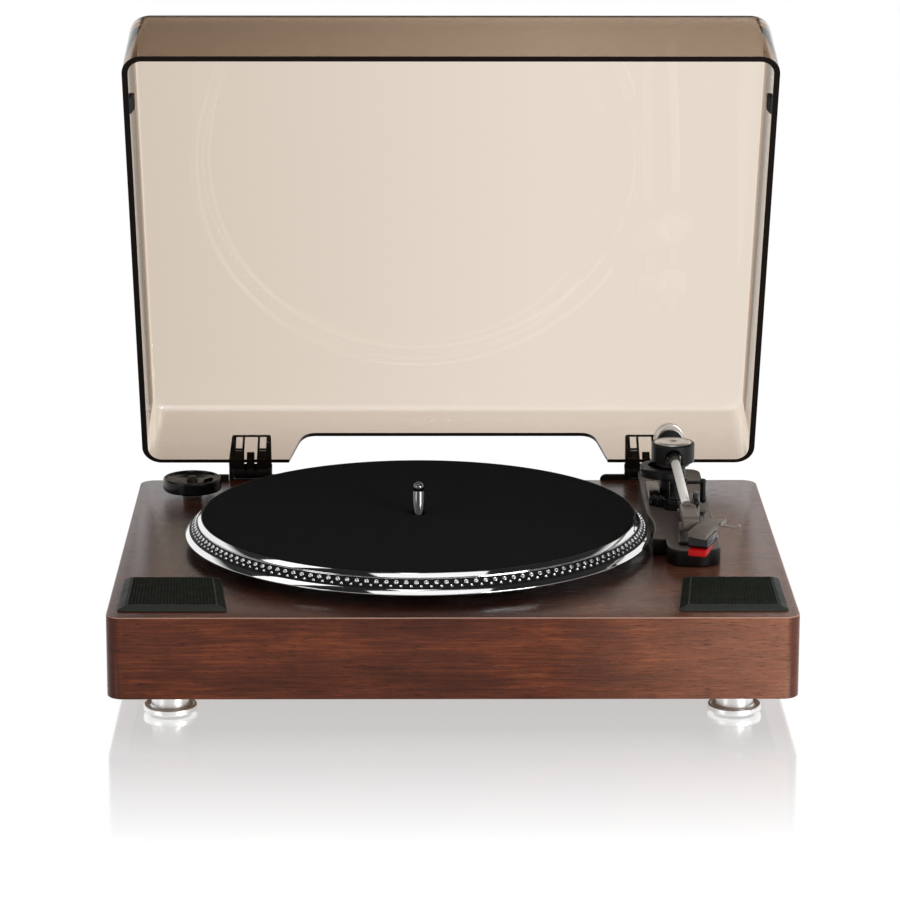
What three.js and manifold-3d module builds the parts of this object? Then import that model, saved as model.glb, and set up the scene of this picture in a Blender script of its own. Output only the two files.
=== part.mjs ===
// Record player: wooden plinth with two corner speakers, belt-driven platter with a stepped rim,
// straight tonearm with its lift and rest, stored 45 rpm adapter, and a smoked cover on two rear hinges.
// Millimetres. +X is right, +Y is back, +Z is up, and the front faces -Y.
import * as THREE from 'three';
import { mergeVertices } from 'three/addons/utils/BufferGeometryUtils.js';
import Module from 'manifold-3d';

const wasm = await Module();
wasm.setup();

// Fits and cuts
const GAP = 0.3;                  // between two pieces that touch
const OVER = 2;                   // overrun of every cut

// Plinth
const PLINTH_WIDTH = 420;
const PLINTH_DEPTH = 331;
const PLINTH_HEIGHT = 51.7;
const PLINTH_CORNER = 10;
const PLINTH_EDGE = 0.7;
const PLINTH_WALL = 12;
const PLINTH_TOP = 9;
const FLOOR_THICK = 4;            // bottom plate
const VENT_WIDTH = 3.4;
const VENT_LENGTH = 26;
const VENT_PITCH = 12;
const VENT_OFFSET = 70;           // vent field from the centre, along X

// Feet
const FOOT_HEIGHT = 19;
const FOOT_INSET_X = 36.5;        // foot axis from the plinth's side
const FOOT_INSET_Y = 36.5;
const FOOT_STEM_R = 11.5;
const FOOT_FLANGE_R = 16.5;
const FOOT_FLANGE_THICK = 4.4;
const FOOT_DISH = 1.2;
const FOOT_LIP = 1.6;
const FOOT_EDGE = 0.5;
const PAD_R = 12.5;
const PAD_THICK = 2;
const PAD_PROUD = 1;

// Speakers
const GRILLE_WIDTH = 64;
const GRILLE_DEPTH = 72;
const GRILLE_HEIGHT = 2.8;
const GRILLE_BEVEL = 5;
const GRILLE_WALL = 1.2;
const GRILLE_CORNER = 3;
const GRILLE_SLANT = 7.2;         // how far the side beside the platter leans away from it
const GRILLE_SPREAD = 2.7;        // how far that side's front end stands toward the platter
const GRILLE_INSET_X = 6.5;       // grille edge from the plinth's side
const GRILLE_INSET_Y = 12;        // grille edge from the plinth's front
const MESH_PITCH = 10.4;
const MESH_HOLE = 7;
const MESH_MARGIN = 2.4;
const DRIVER_R = 26;
const DRIVER_CONE_R = 22;
const DRIVER_FRAME = 3;
const DRIVER_DEPTH = 25;
const DRIVER_ROLL = 2;            // width of the cone's surround
const CONE_DEPTH = 9;
const DUST_CAP_R = 5;
const DUST_CAP_RISE = 3;
const MAGNET_R = 17;
const MAGNET_THICK = 10;
const MAGNET_EDGE = 2;

// Platter, its drive and its bearing
const PLATTER_X = -20.7;
const PLATTER_Y = 9.5;
const PLATTER_R = 150;
const PLATTER_LIFT = 6.2;         // underside above the plinth
const PLATTER_FACE = 16;          // mat seat above the plinth
const MAT_THICK = 2;
const MAT_R = 138.8;
const RIM_LIP = 0.8;
const RING_UPPER = 2.6;           // height of the upper bright ring
const RING_LOWER = 2.8;           // height of the lower bright ring
const BAND_DEPTH = 0.5;           // dotted band below the rings
const RIM_FOOT = 0.8;
const PLATTER_WEB = 3.4;
const SKIRT_IN = 137;             // hollow underside, at the web
const SKIRT_FOOT = 4.6;           // skirt's width at its lower edge
const PLATTER_BOSS_R = 14;
const SHOULDER_R = 9;             // spindle's shoulder under the boss
const SHOULDER = 3.4;
const SPINDLE_R = 3.6;
const SPINDLE_PROUD = 21;
const BEARING_R = 8;
const BEARING_FLANGE_R = 18;
const BEARING_FLANGE = 3;
const BEARING_DEPTH = 34;
const BEARING_FLOOR = 2;
const BEARING_DROP = 0.6;
const BELT_RIM_R = 75;            // belt rim under the platter
const BELT_RIM_WALL = 4;
const BELT_RIM_LIFT = 3;
const BELT_WIDTH = 5;
const BELT_THICK = 0.8;
const PULLEY_R = 5;
const PULLEY_LIP = 1.3;
const PULLEY_EDGE = 0.8;
const MOTOR_DISTANCE = 100;       // motor axis from the platter axis
const MOTOR_ANGLE_DEG = 142;      // seen from above, from the right
const MOTOR_R = 17;
const MOTOR_EDGE = 2;
const MOTOR_HEIGHT = 28;
const MOTOR_SHAFT_R = 1.2;
const MOTOR_BOSS_R = 6;
const MOTOR_BOSS = 3;

// Main board and rear panel
const BOARD_WIDTH = 110;
const BOARD_DEPTH = 64;
const BOARD_THICK = 1.6;
const BOARD_X = 52;
const BOARD_Y = 108;
const BOARD_LIFT = 6;
const STANDOFF_R = 3;
const CHIP = 16;
const CHIP_THICK = 3;
const CAN_PITCH = 15;
const CAN_R = 5;
const CAN_HEIGHT = 13;
const REAR_PANEL_WIDTH = 104;
const REAR_PANEL_HEIGHT = 30;
const REAR_PANEL_THICK = 2;
const REAR_PANEL_X = 20;
const REAR_PANEL_BORDER = 4;      // panel laps the plinth around its window
const REAR_PITCH = 19;            // between jacks
const JACK_R = 4.2;
const JACK_RING_R = 6;
const JACK_RING = 2;
const JACK_BORE_R = 2.1;
const JACK_LENGTH = 9;
const JACK_TAIL = 14;
const DC_R = 5;
const DC_BORE_R = 3.5;
const DC_PIN_R = 1.2;
const DC_PROUD = 1;
const KNOB_R = 8;
const KNOB_LENGTH = 12;
const KNOB_TAPER = 0.5;
const KNOB_EDGE = 1;
const KNOB_SHAFT_R = 3;
const KNOB_TAIL = 12;
const KNOB_GROOVE_R = 1;

// 45 rpm adapter and its peg
const ADAPTER_X = -173;
const ADAPTER_Y = 128;
const ADAPTER_R = 19.5;
const ADAPTER_THICK = 8.5;
const ADAPTER_DISH = 3;
const ADAPTER_LIP = 1.6;
const ADAPTER_HUB_R = 6;
const ADAPTER_WEB_R = 16;
const WINDOW_FROM_DEG = -75;
const WINDOW_TO_DEG = 25;
const PEG_SHOULDER_R = 6.5;
const PEG_SHOULDER = 3;
const PEG_PROUD = 1;

// Cover
const COVER_WIDTH = 417.5;
const COVER_DEPTH = 329;
const COVER_HEIGHT = 55.7;
const COVER_WALL = 2.8;
const COVER_DRAFT = 2.5;
const COVER_CORNER = 13;
const COVER_FILLET = 5;
const COVER_SEAT = 0.6;           // closed rim above the plinth
const COVER_OPEN_DEG = 65.5;
const NOTCH_WIDTH_TOP = 198;
const NOTCH_WIDTH_RIM = 218;
const NOTCH_HEIGHT = 29.6;
const NOTCH_CORNER = 2.8;
const BUMPER_LENGTH = 12.5;
const BUMPER_HEIGHT = 8;
const BUMPER_THICK = 3.4;
const BUMPER_FOOT = 1.4;          // thickness at its lower end, beside the grille
const BUMPER_TAPER = 4;           // height of the tapered part
const BUMPER_FROM_FRONT = 31;     // bumper's near end from the cover's front

// Hinges
const HINGE_X = 135.5;
const HINGE_BACK = 9;             // pin axis behind the plinth
const HINGE_UP = 4.1;             // pin axis above the plinth's top
const HINGE_PIN_R = 2;
const KNUCKLE_R = 5;
const HINGE_WIDTH_RIM = 29.2;
const HINGE_WIDTH_TOP = 26.7;
const HINGE_PLATE = 3.6;
const HINGE_SHEET = 1.2;          // thickness around the plate's windows
const HINGE_REACH = 29.6;         // plate up the cover's rear wall
const HINGE_POST = 3;
const HINGE_RIB = 1.5;
const HINGE_RIB_X = 5.2;
const HINGE_RAIL = 1.1;
const HINGE_SOLID = 10.4;         // plate is closed up to here
const HINGE_SLOT_WIDTH = 1.9;
const HINGE_BAR = 1.1;
const HINGE_BAR_UP = 13.6;
const HINGE_FOOT = 0.9;           // plate's lower end above the plinth when closed
const LUG_THICK = 3.5;
const BRACKET_WIDTH = 63.5;
const BRACKET_DROP = 24;
const BRACKET_RISE = 3.2;
const BRACKET_THICK = 3.4;
const BRACKET_NOTCH = 2.4;        // notch floor below the plinth's top
const BRACKET_CORNER = 4;

// Tonearm base
const ARM_X = 147.5;              // pivot axis
const ARM_Y = 80;
const BASE_LEFT = 128.5;
const BASE_RIGHT = 170.5;
const BASE_BACK = 153;
const BASE_FRONT = -56;
const BASE_HEIGHT = 11;
const BASE_WALL = 2.2;
const BASE_ROOF = 4.4;
const BASE_CORNER = 9;
const BASE_NOSE = 17;
const BASE_STEP_X = 136.5;
const BASE_STEP_Y = -27;
const BASE_CLEAR = 2;             // round the platter
const BLOCK_WIDTH = 8.3;
const BLOCK_LENGTH = 42;
const BLOCK_RISE = 6;
const BLOCK_X = 130.6;
const BLOCK_FRONT = 54;
const LIFT_R = 8;
const LIFT_RISE = 7;
const LIFT_REACH = 32;            // lift piston from the pivot axis
const LIFT_COLUMN_R = 4.2;
const LIFT_COLUMN = 18;           // column's top above the base
const LIFT_LINK = 8;
const PANEL_X = 156;
const PANEL_Y = -5;
const PANEL_WIDTH = 19;
const PANEL_LENGTH = 76;
const PANEL_THICK = 1.8;
const PANEL_TURN_DEG = -4.3;
const PANEL_SLOT_WIDTH = 4;
const PANEL_SLOT_LENGTH = 17;
const SLIDE_WIDTH = 3.2;
const SLIDE_LENGTH = 6.5;
const SLIDE_RISE = 3.4;
const SLIDE_DIP = 0.9;            // finger hollow in its top
const SLIDE_FOOT = 1.2;

// Tonearm pivot
const TUBE_Z = 40;                // tube axis above the plinth's top
const TUBE_R = 2.9;
const TUBE_WALL = 0.6;
const TUBE_FRONT = 150;
const TUBE_TAIL = 54;
const TOWER_R = 8.2;
const TOWER_FLANGE_R = 15;
const TOWER_SHIFT = 6.5;          // flange spreads to the left of the pivot
const TOWER_FLANGE = 7;
const TOWER_TOP = 32.4;
const SHAFT_R = 3;
const SHAFT_DISC_R = 11;
const SHAFT_DISC = 1.5;
const SHAFT_TAIL = 16;
const HOUSING_R = 14.2;
const HOUSING_BOTTOM = 35.2;
const HOUSING_TOP = 47.9;
const HOUSING_CHANNEL = 11.6;
const HOUSING_ARCH = 45.8;
const CAP_DISC_R = 12.3;
const CAP_DISC = 1.2;
const CAP_RIM = 0.3;
const AXLE_R = 1.5;
const AXLE_LENGTH = 24;
const BLOCK_CORE_R = 4.3;
const BLOCK_CORE = 6;
const BLOCK_NECK_R = 3.7;
const BOSS_R = 3.9;
const BOSS_START = 10;
const BOSS_END = 28;
const BOSS_NOSE_R = 3.5;

// Tonearm front
const RING_R = 5;
const RING_BACK = 140;            // ring's rear edge from the pivot
const RING_LENGTH = 6;
const COLLAR_WIDTH = 10;
const COLLAR_TOP = 3.4;
const COLLAR_BOTTOM = 3.2;
const COLLAR_FRONT = 176.5;
const COLLAR_NOSE = 3.4;
const COLLAR_NOSE_DROP = 1.1;
const STYLUS_X = 3.3;             // stylus tip from the pivot, to the right
const STYLUS_Y = 197.6;           // stylus tip from the pivot, to the front
const STYLUS_Z = -15.9;           // stylus tip from the tube axis
const OFFSET_DEG = 20;            // headshell is angled toward the spindle
const SHELL_WIDTH = 12.6;
const SHELL_FRONT = 7.3;
const SHELL_FRONT_SKEW = 4;       // left end of the front edge lies further back
const SHELL_CREASE = 22;
const SHELL_REAR = 40.4;
const SHELL_REAR_SKEW = 7;        // left end of the rear edge lies further front
const SHELL_THICK = 2.7;
const SHELL_TOP = 0.9;            // crease above the tube axis
const SHELL_FRONT_DROP = 0.8;
const SHELL_REAR_DROP = 1.5;
const TAB_WIDTH = 13;
const TAB_LENGTH = 12;
const TAB_THICK = 2.2;
const TAB_BACK = 160;
const CART_WIDTH = 12.2;
const CART_FRONT = 2.6;
const CART_REAR = 19;
const CART_HEIGHT = 6.8;
const CART_CHAMFER = 1.6;
const GRIP_WIDTH = 11.2;
const GRIP_FRONT = 4.4;
const GRIP_REAR = 13;
const GRIP_HEIGHT = 4.4;
const GRIP_SLOPE = 2;
const TIP_R = 0.6;
const FINGER_R = 0.9;
const FINGER_REACH = 12;
const FINGER_BACK = 25;
const FINGER_SWEEP = -1.5;
const FINGER_DIP = 0.8;

// Counterweight
const WEIGHT_R = 9.6;
const WEIGHT_START = 31;
const WEIGHT_LENGTH = 10;
const GRIP_RING_R = 10;
const GRIP_RING = 5;
const DIAL_R = 8.6;
const DIAL_THICK = 2.8;
const DIAL_BOSS_R = 5;
const DIAL_BOSS = 2;

// Lift, cue lever, rest and clip
const PISTON_R = 2;
const LIFT_BAR_WIDTH = 5;
const LIFT_BAR_THICK = 1.6;
const LIFT_BAR_DROP = 0.9;        // bar below the tube
const LIFT_BAR_RIGHT_DEG = 9;
const LIFT_BAR_LEFT_DEG = 42;
const LIFT_TRAVEL = 3.5;
const CUE_X = 165.7;              // handle
const CUE_Y = 52;                 // lever's axis
const CUE_Z = 27.6;               // lever's axis above the plinth's top
const CUE_SHAFT_R = 1.1;
const CUE_BOSS_R = 2.4;
const CUE_BOSS_END = 155;
const CUE_SEAT = 5;               // shaft's length inside its boss
const CUE_HANDLE_R = 2.1;
const CUE_LENGTH = 14;
const CUE_CROWN = 0.4;
const REST_X = 151.2;
const REST_WIDTH = 4.4;
const REST_FRONT = -54;
const REST_LENGTH = 10.4;
const REST_TOP_LENGTH = 7.8;
const REST_TOP = 47.6;
const REST_GAP = 1;               // ledge below the tube
const LEDGE_WIDTH = 9;
const LEDGE_LENGTH = 8;
const LEDGE_THICK = 2.6;
const LEDGE_ROOT = 2;             // reach of the ledge and the pin into the post
const CLIP_X = 5.9;               // clip pin to the right of the tube
const CLIP_Z = 2.5;               // clip pin above the tube
const CLIP_WIDTH = 3.6;
const CLIP_WALL = 1.4;
const CLIP_CLEAR = 0.7;
const CLIP_BARREL_R = 2.1;
const CLIP_PIN_R = 0.9;
const CLIP_FROM_DEG = 25;         // hook's ends round the tube, from its right
const CLIP_TO_DEG = 195;
const CLIP_LINK_DEG = 60;
const CLIP_OPEN_DEG = 262;

// Counts of facets and repeats
const ROUND = 16;
const SMALL_ROUND = 12;
const WIDE_ROUND = 24;
const FOOT_ROUND = 12;
const HEX = 6;
const PLATTER_FACETS = 48;
const CORNER_STEPS = 3;
const CURVE_STEPS = 6;
const VENT_COUNT = 3;
const GROOVE_COUNT = 7;           // round the volume knob

// Worked-out heights and places
const plinthTop = FOOT_HEIGHT + PLINTH_HEIGHT;
const plinthBack = PLINTH_DEPTH / 2;
const matTop = PLATTER_FACE + MAT_THICK;
const pivotY = plinthBack + HINGE_BACK;

const rad = THREE.MathUtils.degToRad;

// Materials
function finish(color, roughness, metalness = 0, opacity = 1) {
  return new THREE.MeshStandardMaterial({ color, roughness, metalness, opacity, transparent: opacity < 1 });
}

const wood = () => finish(0x5e2f22, 0.45);
const board = () => finish(0x4a3a2c, 0.8);
const aluminium = () => finish(0xc4c4c6, 0.25, 1);
const chrome = () => finish(0xd8d8da, 0.12, 1);
const steel = () => finish(0x9a9c9e, 0.35, 1);
const blackPlastic = () => finish(0x141414, 0.4);
const satinBlack = () => finish(0x24221f, 0.5);
const greyPlastic = () => finish(0x4c4741, 0.5);
const darkPanel = () => finish(0x26292a, 0.35);
const rubber = () => finish(0x101010, 0.85);
const felt = () => finish(0x161616, 0.95);
const meshBlack = () => finish(0x1a1f1d, 0.5);
const paper = () => finish(0x202020, 0.9);
const circuit = () => finish(0x1d5a34, 0.6);
const silverGrey = () => finish(0xb2aea8, 0.35, 0.8);
const paleTube = () => finish(0xd6d0c8, 0.35, 0.5);
const red = () => finish(0xd0101c, 0.3);
const brass = () => finish(0xb89a50, 0.3, 1);
const smoked = () => finish(0xa08f7c, 0.05, 0, 0.4);

// Closed solids from three.js geometry
function solid(geometry) {
  const bare = geometry.clone();
  bare.deleteAttribute('normal');
  bare.deleteAttribute('uv');
  const merged = mergeVertices(bare);
  const p = merged.attributes.position;
  const index = merged.index.array;
  const faces = [];
  let volume = 0;
  const [a, b, c] = [new THREE.Vector3(), new THREE.Vector3(), new THREE.Vector3()];
  for (let i = 0; i < index.length; i += 3) {
    const [i0, i1, i2] = [index[i], index[i + 1], index[i + 2]];
    if (i0 === i1 || i1 === i2 || i2 === i0) continue;
    faces.push(i0, i1, i2);
    a.fromBufferAttribute(p, i0);
    b.fromBufferAttribute(p, i1);
    c.fromBufferAttribute(p, i2);
    volume += a.dot(b.cross(c));
  }
  if (volume < 0) faces.reverse();
  return new wasm.Manifold(new wasm.Mesh({
    numProp: 3,
    vertProperties: new Float32Array(p.array),
    triVerts: new Uint32Array(faces),
  }));
}

function geometryOf(manifold) {
  const { vertProperties, triVerts } = manifold.getMesh();
  const geometry = new THREE.BufferGeometry();
  geometry.setAttribute('position', new THREE.BufferAttribute(new Float32Array(vertProperties), 3));
  geometry.setIndex(new THREE.BufferAttribute(new Uint32Array(triVerts), 1));
  geometry.computeVertexNormals();
  return geometry;
}

function piece(name, manifold, material, parent) {
  const mesh = new THREE.Mesh(geometryOf(manifold), material);
  mesh.name = name;
  parent.add(mesh);
  return mesh;
}

function group(parent, x = 0, y = 0, z = 0) {
  const g = new THREE.Group();
  g.position.set(x, y, z);
  parent.add(g);
  return g;
}

// Outlines in the XY plane
function roundedRect(width, depth, radius, shape = new THREE.Shape()) {
  const [x, y] = [width / 2, depth / 2];
  shape.moveTo(-x + radius, -y);
  shape.lineTo(x - radius, -y);
  shape.absarc(x - radius, -y + radius, radius, -Math.PI / 2, 0);
  shape.absarc(x - radius, y - radius, radius, 0, Math.PI / 2);
  shape.absarc(-x + radius, y - radius, radius, Math.PI / 2, Math.PI);
  shape.absarc(-x + radius, -y + radius, radius, Math.PI, 1.5 * Math.PI);
  return shape;
}

function polygon(points) {
  return new THREE.Shape(points.map(([x, y]) => new THREE.Vector2(x, y)));
}

// An outline raised along Z, from 0 to its height
function prism(shape, height, curveSegments = CORNER_STEPS) {
  return solid(new THREE.ExtrudeGeometry(shape, { depth: height, bevelEnabled: false, curveSegments }));
}

// An outline in X and Z, raised along Y and centred on it
function upright(shape, thickness, curveSegments = CORNER_STEPS) {
  return prism(shape, thickness, curveSegments).translate(0, 0, -thickness / 2).rotate(90, 0, 0);
}

// An outline in Y and Z, raised along X and centred on it
function sideways(shape, thickness, curveSegments = CORNER_STEPS) {
  return prism(shape, thickness, curveSegments).translate(0, 0, -thickness / 2).rotate(90, 0, 90);
}

function box(x, y, z, cx = 0, cy = 0, cz = 0) {
  return solid(new THREE.BoxGeometry(x, y, z)).translate(cx, cy, cz);
}

// A profile of [radius, height] points turned about Z
function turned(points, facets = ROUND) {
  const profile = points.map(([r, z]) => new THREE.Vector2(r, z));
  return solid(new THREE.LatheGeometry(profile, facets).rotateX(Math.PI / 2));
}

// A profile turned about Z whose first and last points are joined, with a hole through the middle
function turnedRing(points, facets = ROUND) {
  return turned([...points, points[0]], facets);
}

function cylinder(radius, height, facets = ROUND) {
  return turned([[0, 0], [radius, 0], [radius, height], [0, height]], facets);
}

function alongX(manifold) {
  return manifold.rotate(0, 90, 0);
}

function alongY(manifold) {
  return manifold.rotate(-90, 0, 0);
}

// A body through a stack of rings with equal point counts
function loft(rings) {
  const count = rings[0].length;
  const position = rings.flat().flatMap((v) => [v.x, v.y, v.z]);
  const index = [];
  for (let k = 0; k < rings.length - 1; k++) {
    for (let i = 0; i < count; i++) {
      const j = (i + 1) % count;
      const [a, b] = [k * count + i, k * count + j];
      index.push(a, b, b + count, a, b + count, a + count);
    }
  }
  const last = (rings.length - 1) * count;
  for (let i = 1; i < count - 1; i++) {
    index.push(0, i + 1, i);
    index.push(last, last + i, last + i + 1);
  }
  const geometry = new THREE.BufferGeometry();
  geometry.setAttribute('position', new THREE.Float32BufferAttribute(position, 3));
  geometry.setIndex(index);
  return solid(geometry);
}

function rectRing(width, depth, radius, z) {
  const shape = roundedRect(width, depth, radius);
  const points = shape.getPoints(CORNER_STEPS);
  const unique = points.filter((p, i) => i === 0 || p.distanceTo(points[i - 1]) > 0);
  if (unique[0].equals(unique[unique.length - 1])) unique.pop();
  return unique.map((p) => new THREE.Vector3(p.x, p.y, z));
}

// Plinth: board shell, open below, with holes for what passes through it
function plinthShell() {
  const outline = roundedRect(PLINTH_WIDTH - 2 * PLINTH_EDGE, PLINTH_DEPTH - 2 * PLINTH_EDGE, PLINTH_CORNER);
  const outer = solid(new THREE.ExtrudeGeometry(outline, {
    depth: PLINTH_HEIGHT - 2 * PLINTH_EDGE, bevelSize: PLINTH_EDGE, bevelThickness: PLINTH_EDGE,
    bevelSegments: 1, curveSegments: CORNER_STEPS,
  })).translate(0, 0, PLINTH_EDGE - PLINTH_HEIGHT);
  const hollow = box(
    PLINTH_WIDTH - 2 * PLINTH_WALL, PLINTH_DEPTH - 2 * PLINTH_WALL, PLINTH_HEIGHT - PLINTH_TOP + OVER,
    0, 0, -(PLINTH_HEIGHT + PLINTH_TOP + OVER) / 2,
  );
  const through = (radius, x, y) => cylinder(radius, PLINTH_TOP + 2 * OVER)
    .translate(x, y, -PLINTH_TOP - OVER);
  const { x: motorX, y: motorY } = motorPlace();
  const lap = 2 * REAR_PANEL_BORDER;
  const window = box(
    REAR_PANEL_WIDTH - lap, PLINTH_WALL + 2 * OVER, REAR_PANEL_HEIGHT - lap,
    REAR_PANEL_X, plinthBack - PLINTH_WALL / 2, -PLINTH_HEIGHT / 2,
  );
  let shell = outer.subtract(hollow).subtract(window);
  for (const side of [-1, 1]) {
    const { x, y } = grillePlace(side);
    shell = shell.subtract(through(DRIVER_CONE_R, x, y));
  }
  return shell
    .subtract(through(BEARING_R + GAP, PLATTER_X, PLATTER_Y))
    .subtract(through(MOTOR_BOSS_R + GAP, motorX, motorY))
    .subtract(through(SHAFT_R + GAP, ARM_X, ARM_Y));
}

function bottomPlate() {
  const width = PLINTH_WIDTH - 2 * PLINTH_WALL - 2 * GAP;
  const depth = PLINTH_DEPTH - 2 * PLINTH_WALL - 2 * GAP;
  let plate = box(width, depth, FLOOR_THICK, 0, 0, FLOOR_THICK / 2);
  for (const side of [-1, 1]) {
    for (let i = 0; i < VENT_COUNT; i++) {
      const y = (i - (VENT_COUNT - 1) / 2) * VENT_PITCH;
      const slot = prism(roundedRect(VENT_LENGTH, VENT_WIDTH, VENT_WIDTH / 2), FLOOR_THICK + 2 * OVER, 1);
      plate = plate.subtract(slot.translate(side * VENT_OFFSET, y, -OVER));
    }
  }
  return plate;
}

function foot() {
  const flangeTop = PAD_PROUD + FOOT_FLANGE_THICK;
  const recess = PAD_THICK + GAP;
  return turned([
    [0, recess], [PAD_R + GAP, recess], [PAD_R + GAP, PAD_PROUD], [FOOT_FLANGE_R - PAD_PROUD, PAD_PROUD],
    [FOOT_FLANGE_R, 2 * PAD_PROUD], [FOOT_FLANGE_R, flangeTop - FOOT_EDGE],
    [FOOT_FLANGE_R - FOOT_EDGE, flangeTop], [FOOT_FLANGE_R - FOOT_LIP, flangeTop],
    [FOOT_STEM_R + FOOT_LIP, flangeTop - FOOT_DISH], [FOOT_STEM_R, flangeTop],
    [FOOT_STEM_R, FOOT_HEIGHT - GAP], [0, FOOT_HEIGHT - GAP],
  ], FOOT_ROUND);
}

function buildPlinth(root, deck) {
  piece('plinth_shell', plinthShell(), wood(), deck);
  piece('bottom_plate', bottomPlate(), board(), root).position.z = FOOT_HEIGHT;
  const corners = [['front', -1], ['rear', 1]];
  for (const [end, sy] of corners) {
    for (const [side, sx] of [['left', -1], ['right', 1]]) {
      const x = sx * (PLINTH_WIDTH / 2 - FOOT_INSET_X);
      const y = sy * (PLINTH_DEPTH / 2 - FOOT_INSET_Y);
      piece(`foot_${end}_${side}`, foot(), aluminium(), root).position.set(x, y, 0);
      const pad = cylinder(PAD_R, PAD_THICK, FOOT_ROUND);
      piece(`foot_pad_${end}_${side}`, pad, rubber(), root).position.set(x, y, 0);
    }
  }
}

// Speakers: a bevelled, perforated grille over a driver fixed under the plinth's top
function grillePlace(side) {
  return {
    x: side * (PLINTH_WIDTH / 2 - GRILLE_INSET_X - GRILLE_WIDTH / 2),
    y: -PLINTH_DEPTH / 2 + GRILLE_INSET_Y + GRILLE_DEPTH / 2,
  };
}

function grille(side) {
  const shrink = (inset, z) => rectRing(
    GRILLE_WIDTH - 2 * inset, GRILLE_DEPTH - 2 * inset, Math.max(GRILLE_CORNER - inset / 2, GAP), z,
  );
  const outer = loft([shrink(0, 0), shrink(0, GRILLE_WALL / 2), shrink(GRILLE_BEVEL, GRILLE_HEIGHT)]);
  const inner = loft([
    shrink(GRILLE_WALL, -OVER), shrink(GRILLE_WALL, GRILLE_WALL / 2),
    shrink(GRILLE_BEVEL + GRILLE_WALL, GRILLE_HEIGHT - GRILLE_WALL),
  ]);
  let holes = null;
  const span = (size) => size - 2 * (GRILLE_BEVEL + MESH_MARGIN) - MESH_HOLE;
  const countX = Math.floor(span(GRILLE_WIDTH) / MESH_PITCH) + 1;
  const countY = Math.floor(span(GRILLE_DEPTH) / MESH_PITCH) + 1;
  const place = (i, count) => (i - (count - 1) / 2) * MESH_PITCH;
  for (let i = 0; i < countX; i++) {
    for (let j = 0; j < countY; j++) {
      const hole = box(MESH_HOLE, MESH_HOLE, GRILLE_HEIGHT)
        .translate(place(i, countX), place(j, countY), GRILLE_HEIGHT);
      holes = holes ? holes.add(hole) : hole;
    }
  }
  return outer.subtract(inner).subtract(holes).warp((point) => {
    const inwardShare = 1 / 2 - side * point[0] / GRILLE_WIDTH;
    const rearShare = 1 / 2 + point[1] / GRILLE_DEPTH;
    point[0] += side * inwardShare * (GRILLE_SLANT * rearShare - GRILLE_SPREAD);
  });
}

function driver() {
  const back = -DRIVER_DEPTH;
  return turned([
    [0, back], [MAGNET_R, back], [MAGNET_R, back + MAGNET_THICK],
    [MAGNET_R - MAGNET_EDGE, back + MAGNET_THICK], [DRIVER_CONE_R, -DRIVER_FRAME], [DRIVER_R, -DRIVER_FRAME],
    [DRIVER_R, 0], [DRIVER_CONE_R, 0], [DRIVER_CONE_R - DRIVER_ROLL, -DRIVER_FRAME / 2],
    [DUST_CAP_R, -CONE_DEPTH], [0, DUST_CAP_RISE - CONE_DEPTH],
  ], FOOT_ROUND);
}

function buildSpeakers(deck) {
  for (const [name, side] of [['left', -1], ['right', 1]]) {
    const { x, y } = grillePlace(side);
    piece(`speaker_grille_${name}`, grille(side), meshBlack(), deck).position.set(x, y, GAP);
    piece(`speaker_driver_${name}`, driver(), paper(), deck).position.set(x, y, -PLINTH_TOP - GAP);
  }
}

// Platter and drive, all about the platter axis except the motor
function motorPlace() {
  const angle = rad(MOTOR_ANGLE_DEG);
  return { x: PLATTER_X + MOTOR_DISTANCE * Math.cos(angle), y: PLATTER_Y + MOTOR_DISTANCE * Math.sin(angle) };
}

function bearingSleeve() {
  const bore = SPINDLE_R + GAP;
  const flangeTop = -PLINTH_TOP - GAP;
  return turned([
    [0, -BEARING_DEPTH], [BEARING_R, -BEARING_DEPTH], [BEARING_R, flangeTop - BEARING_FLANGE],
    [BEARING_FLANGE_R, flangeTop - BEARING_FLANGE], [BEARING_FLANGE_R, flangeTop], [BEARING_R, flangeTop],
    [BEARING_R, -BEARING_DROP], [bore, -BEARING_DROP], [bore, -BEARING_DEPTH + BEARING_FLOOR],
    [0, -BEARING_DEPTH + BEARING_FLOOR],
  ]);
}

function mainSpindle() {
  const bottom = -BEARING_DEPTH + BEARING_FLOOR + GAP;
  const top = matTop + SPINDLE_PROUD;
  const dome = [];
  for (let i = 0; i < CORNER_STEPS; i++) {
    const a = (i / CORNER_STEPS) * (Math.PI / 2);
    dome.push([SPINDLE_R * Math.cos(a), top - SPINDLE_R + SPINDLE_R * Math.sin(a)]);
  }
  return turned([
    [0, bottom], [SPINDLE_R, bottom], [SPINDLE_R, GAP], [SHOULDER_R, GAP], [SHOULDER_R, SHOULDER],
    [SPINDLE_R, SHOULDER], ...dome, [0, top],
  ], SMALL_ROUND);
}

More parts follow.
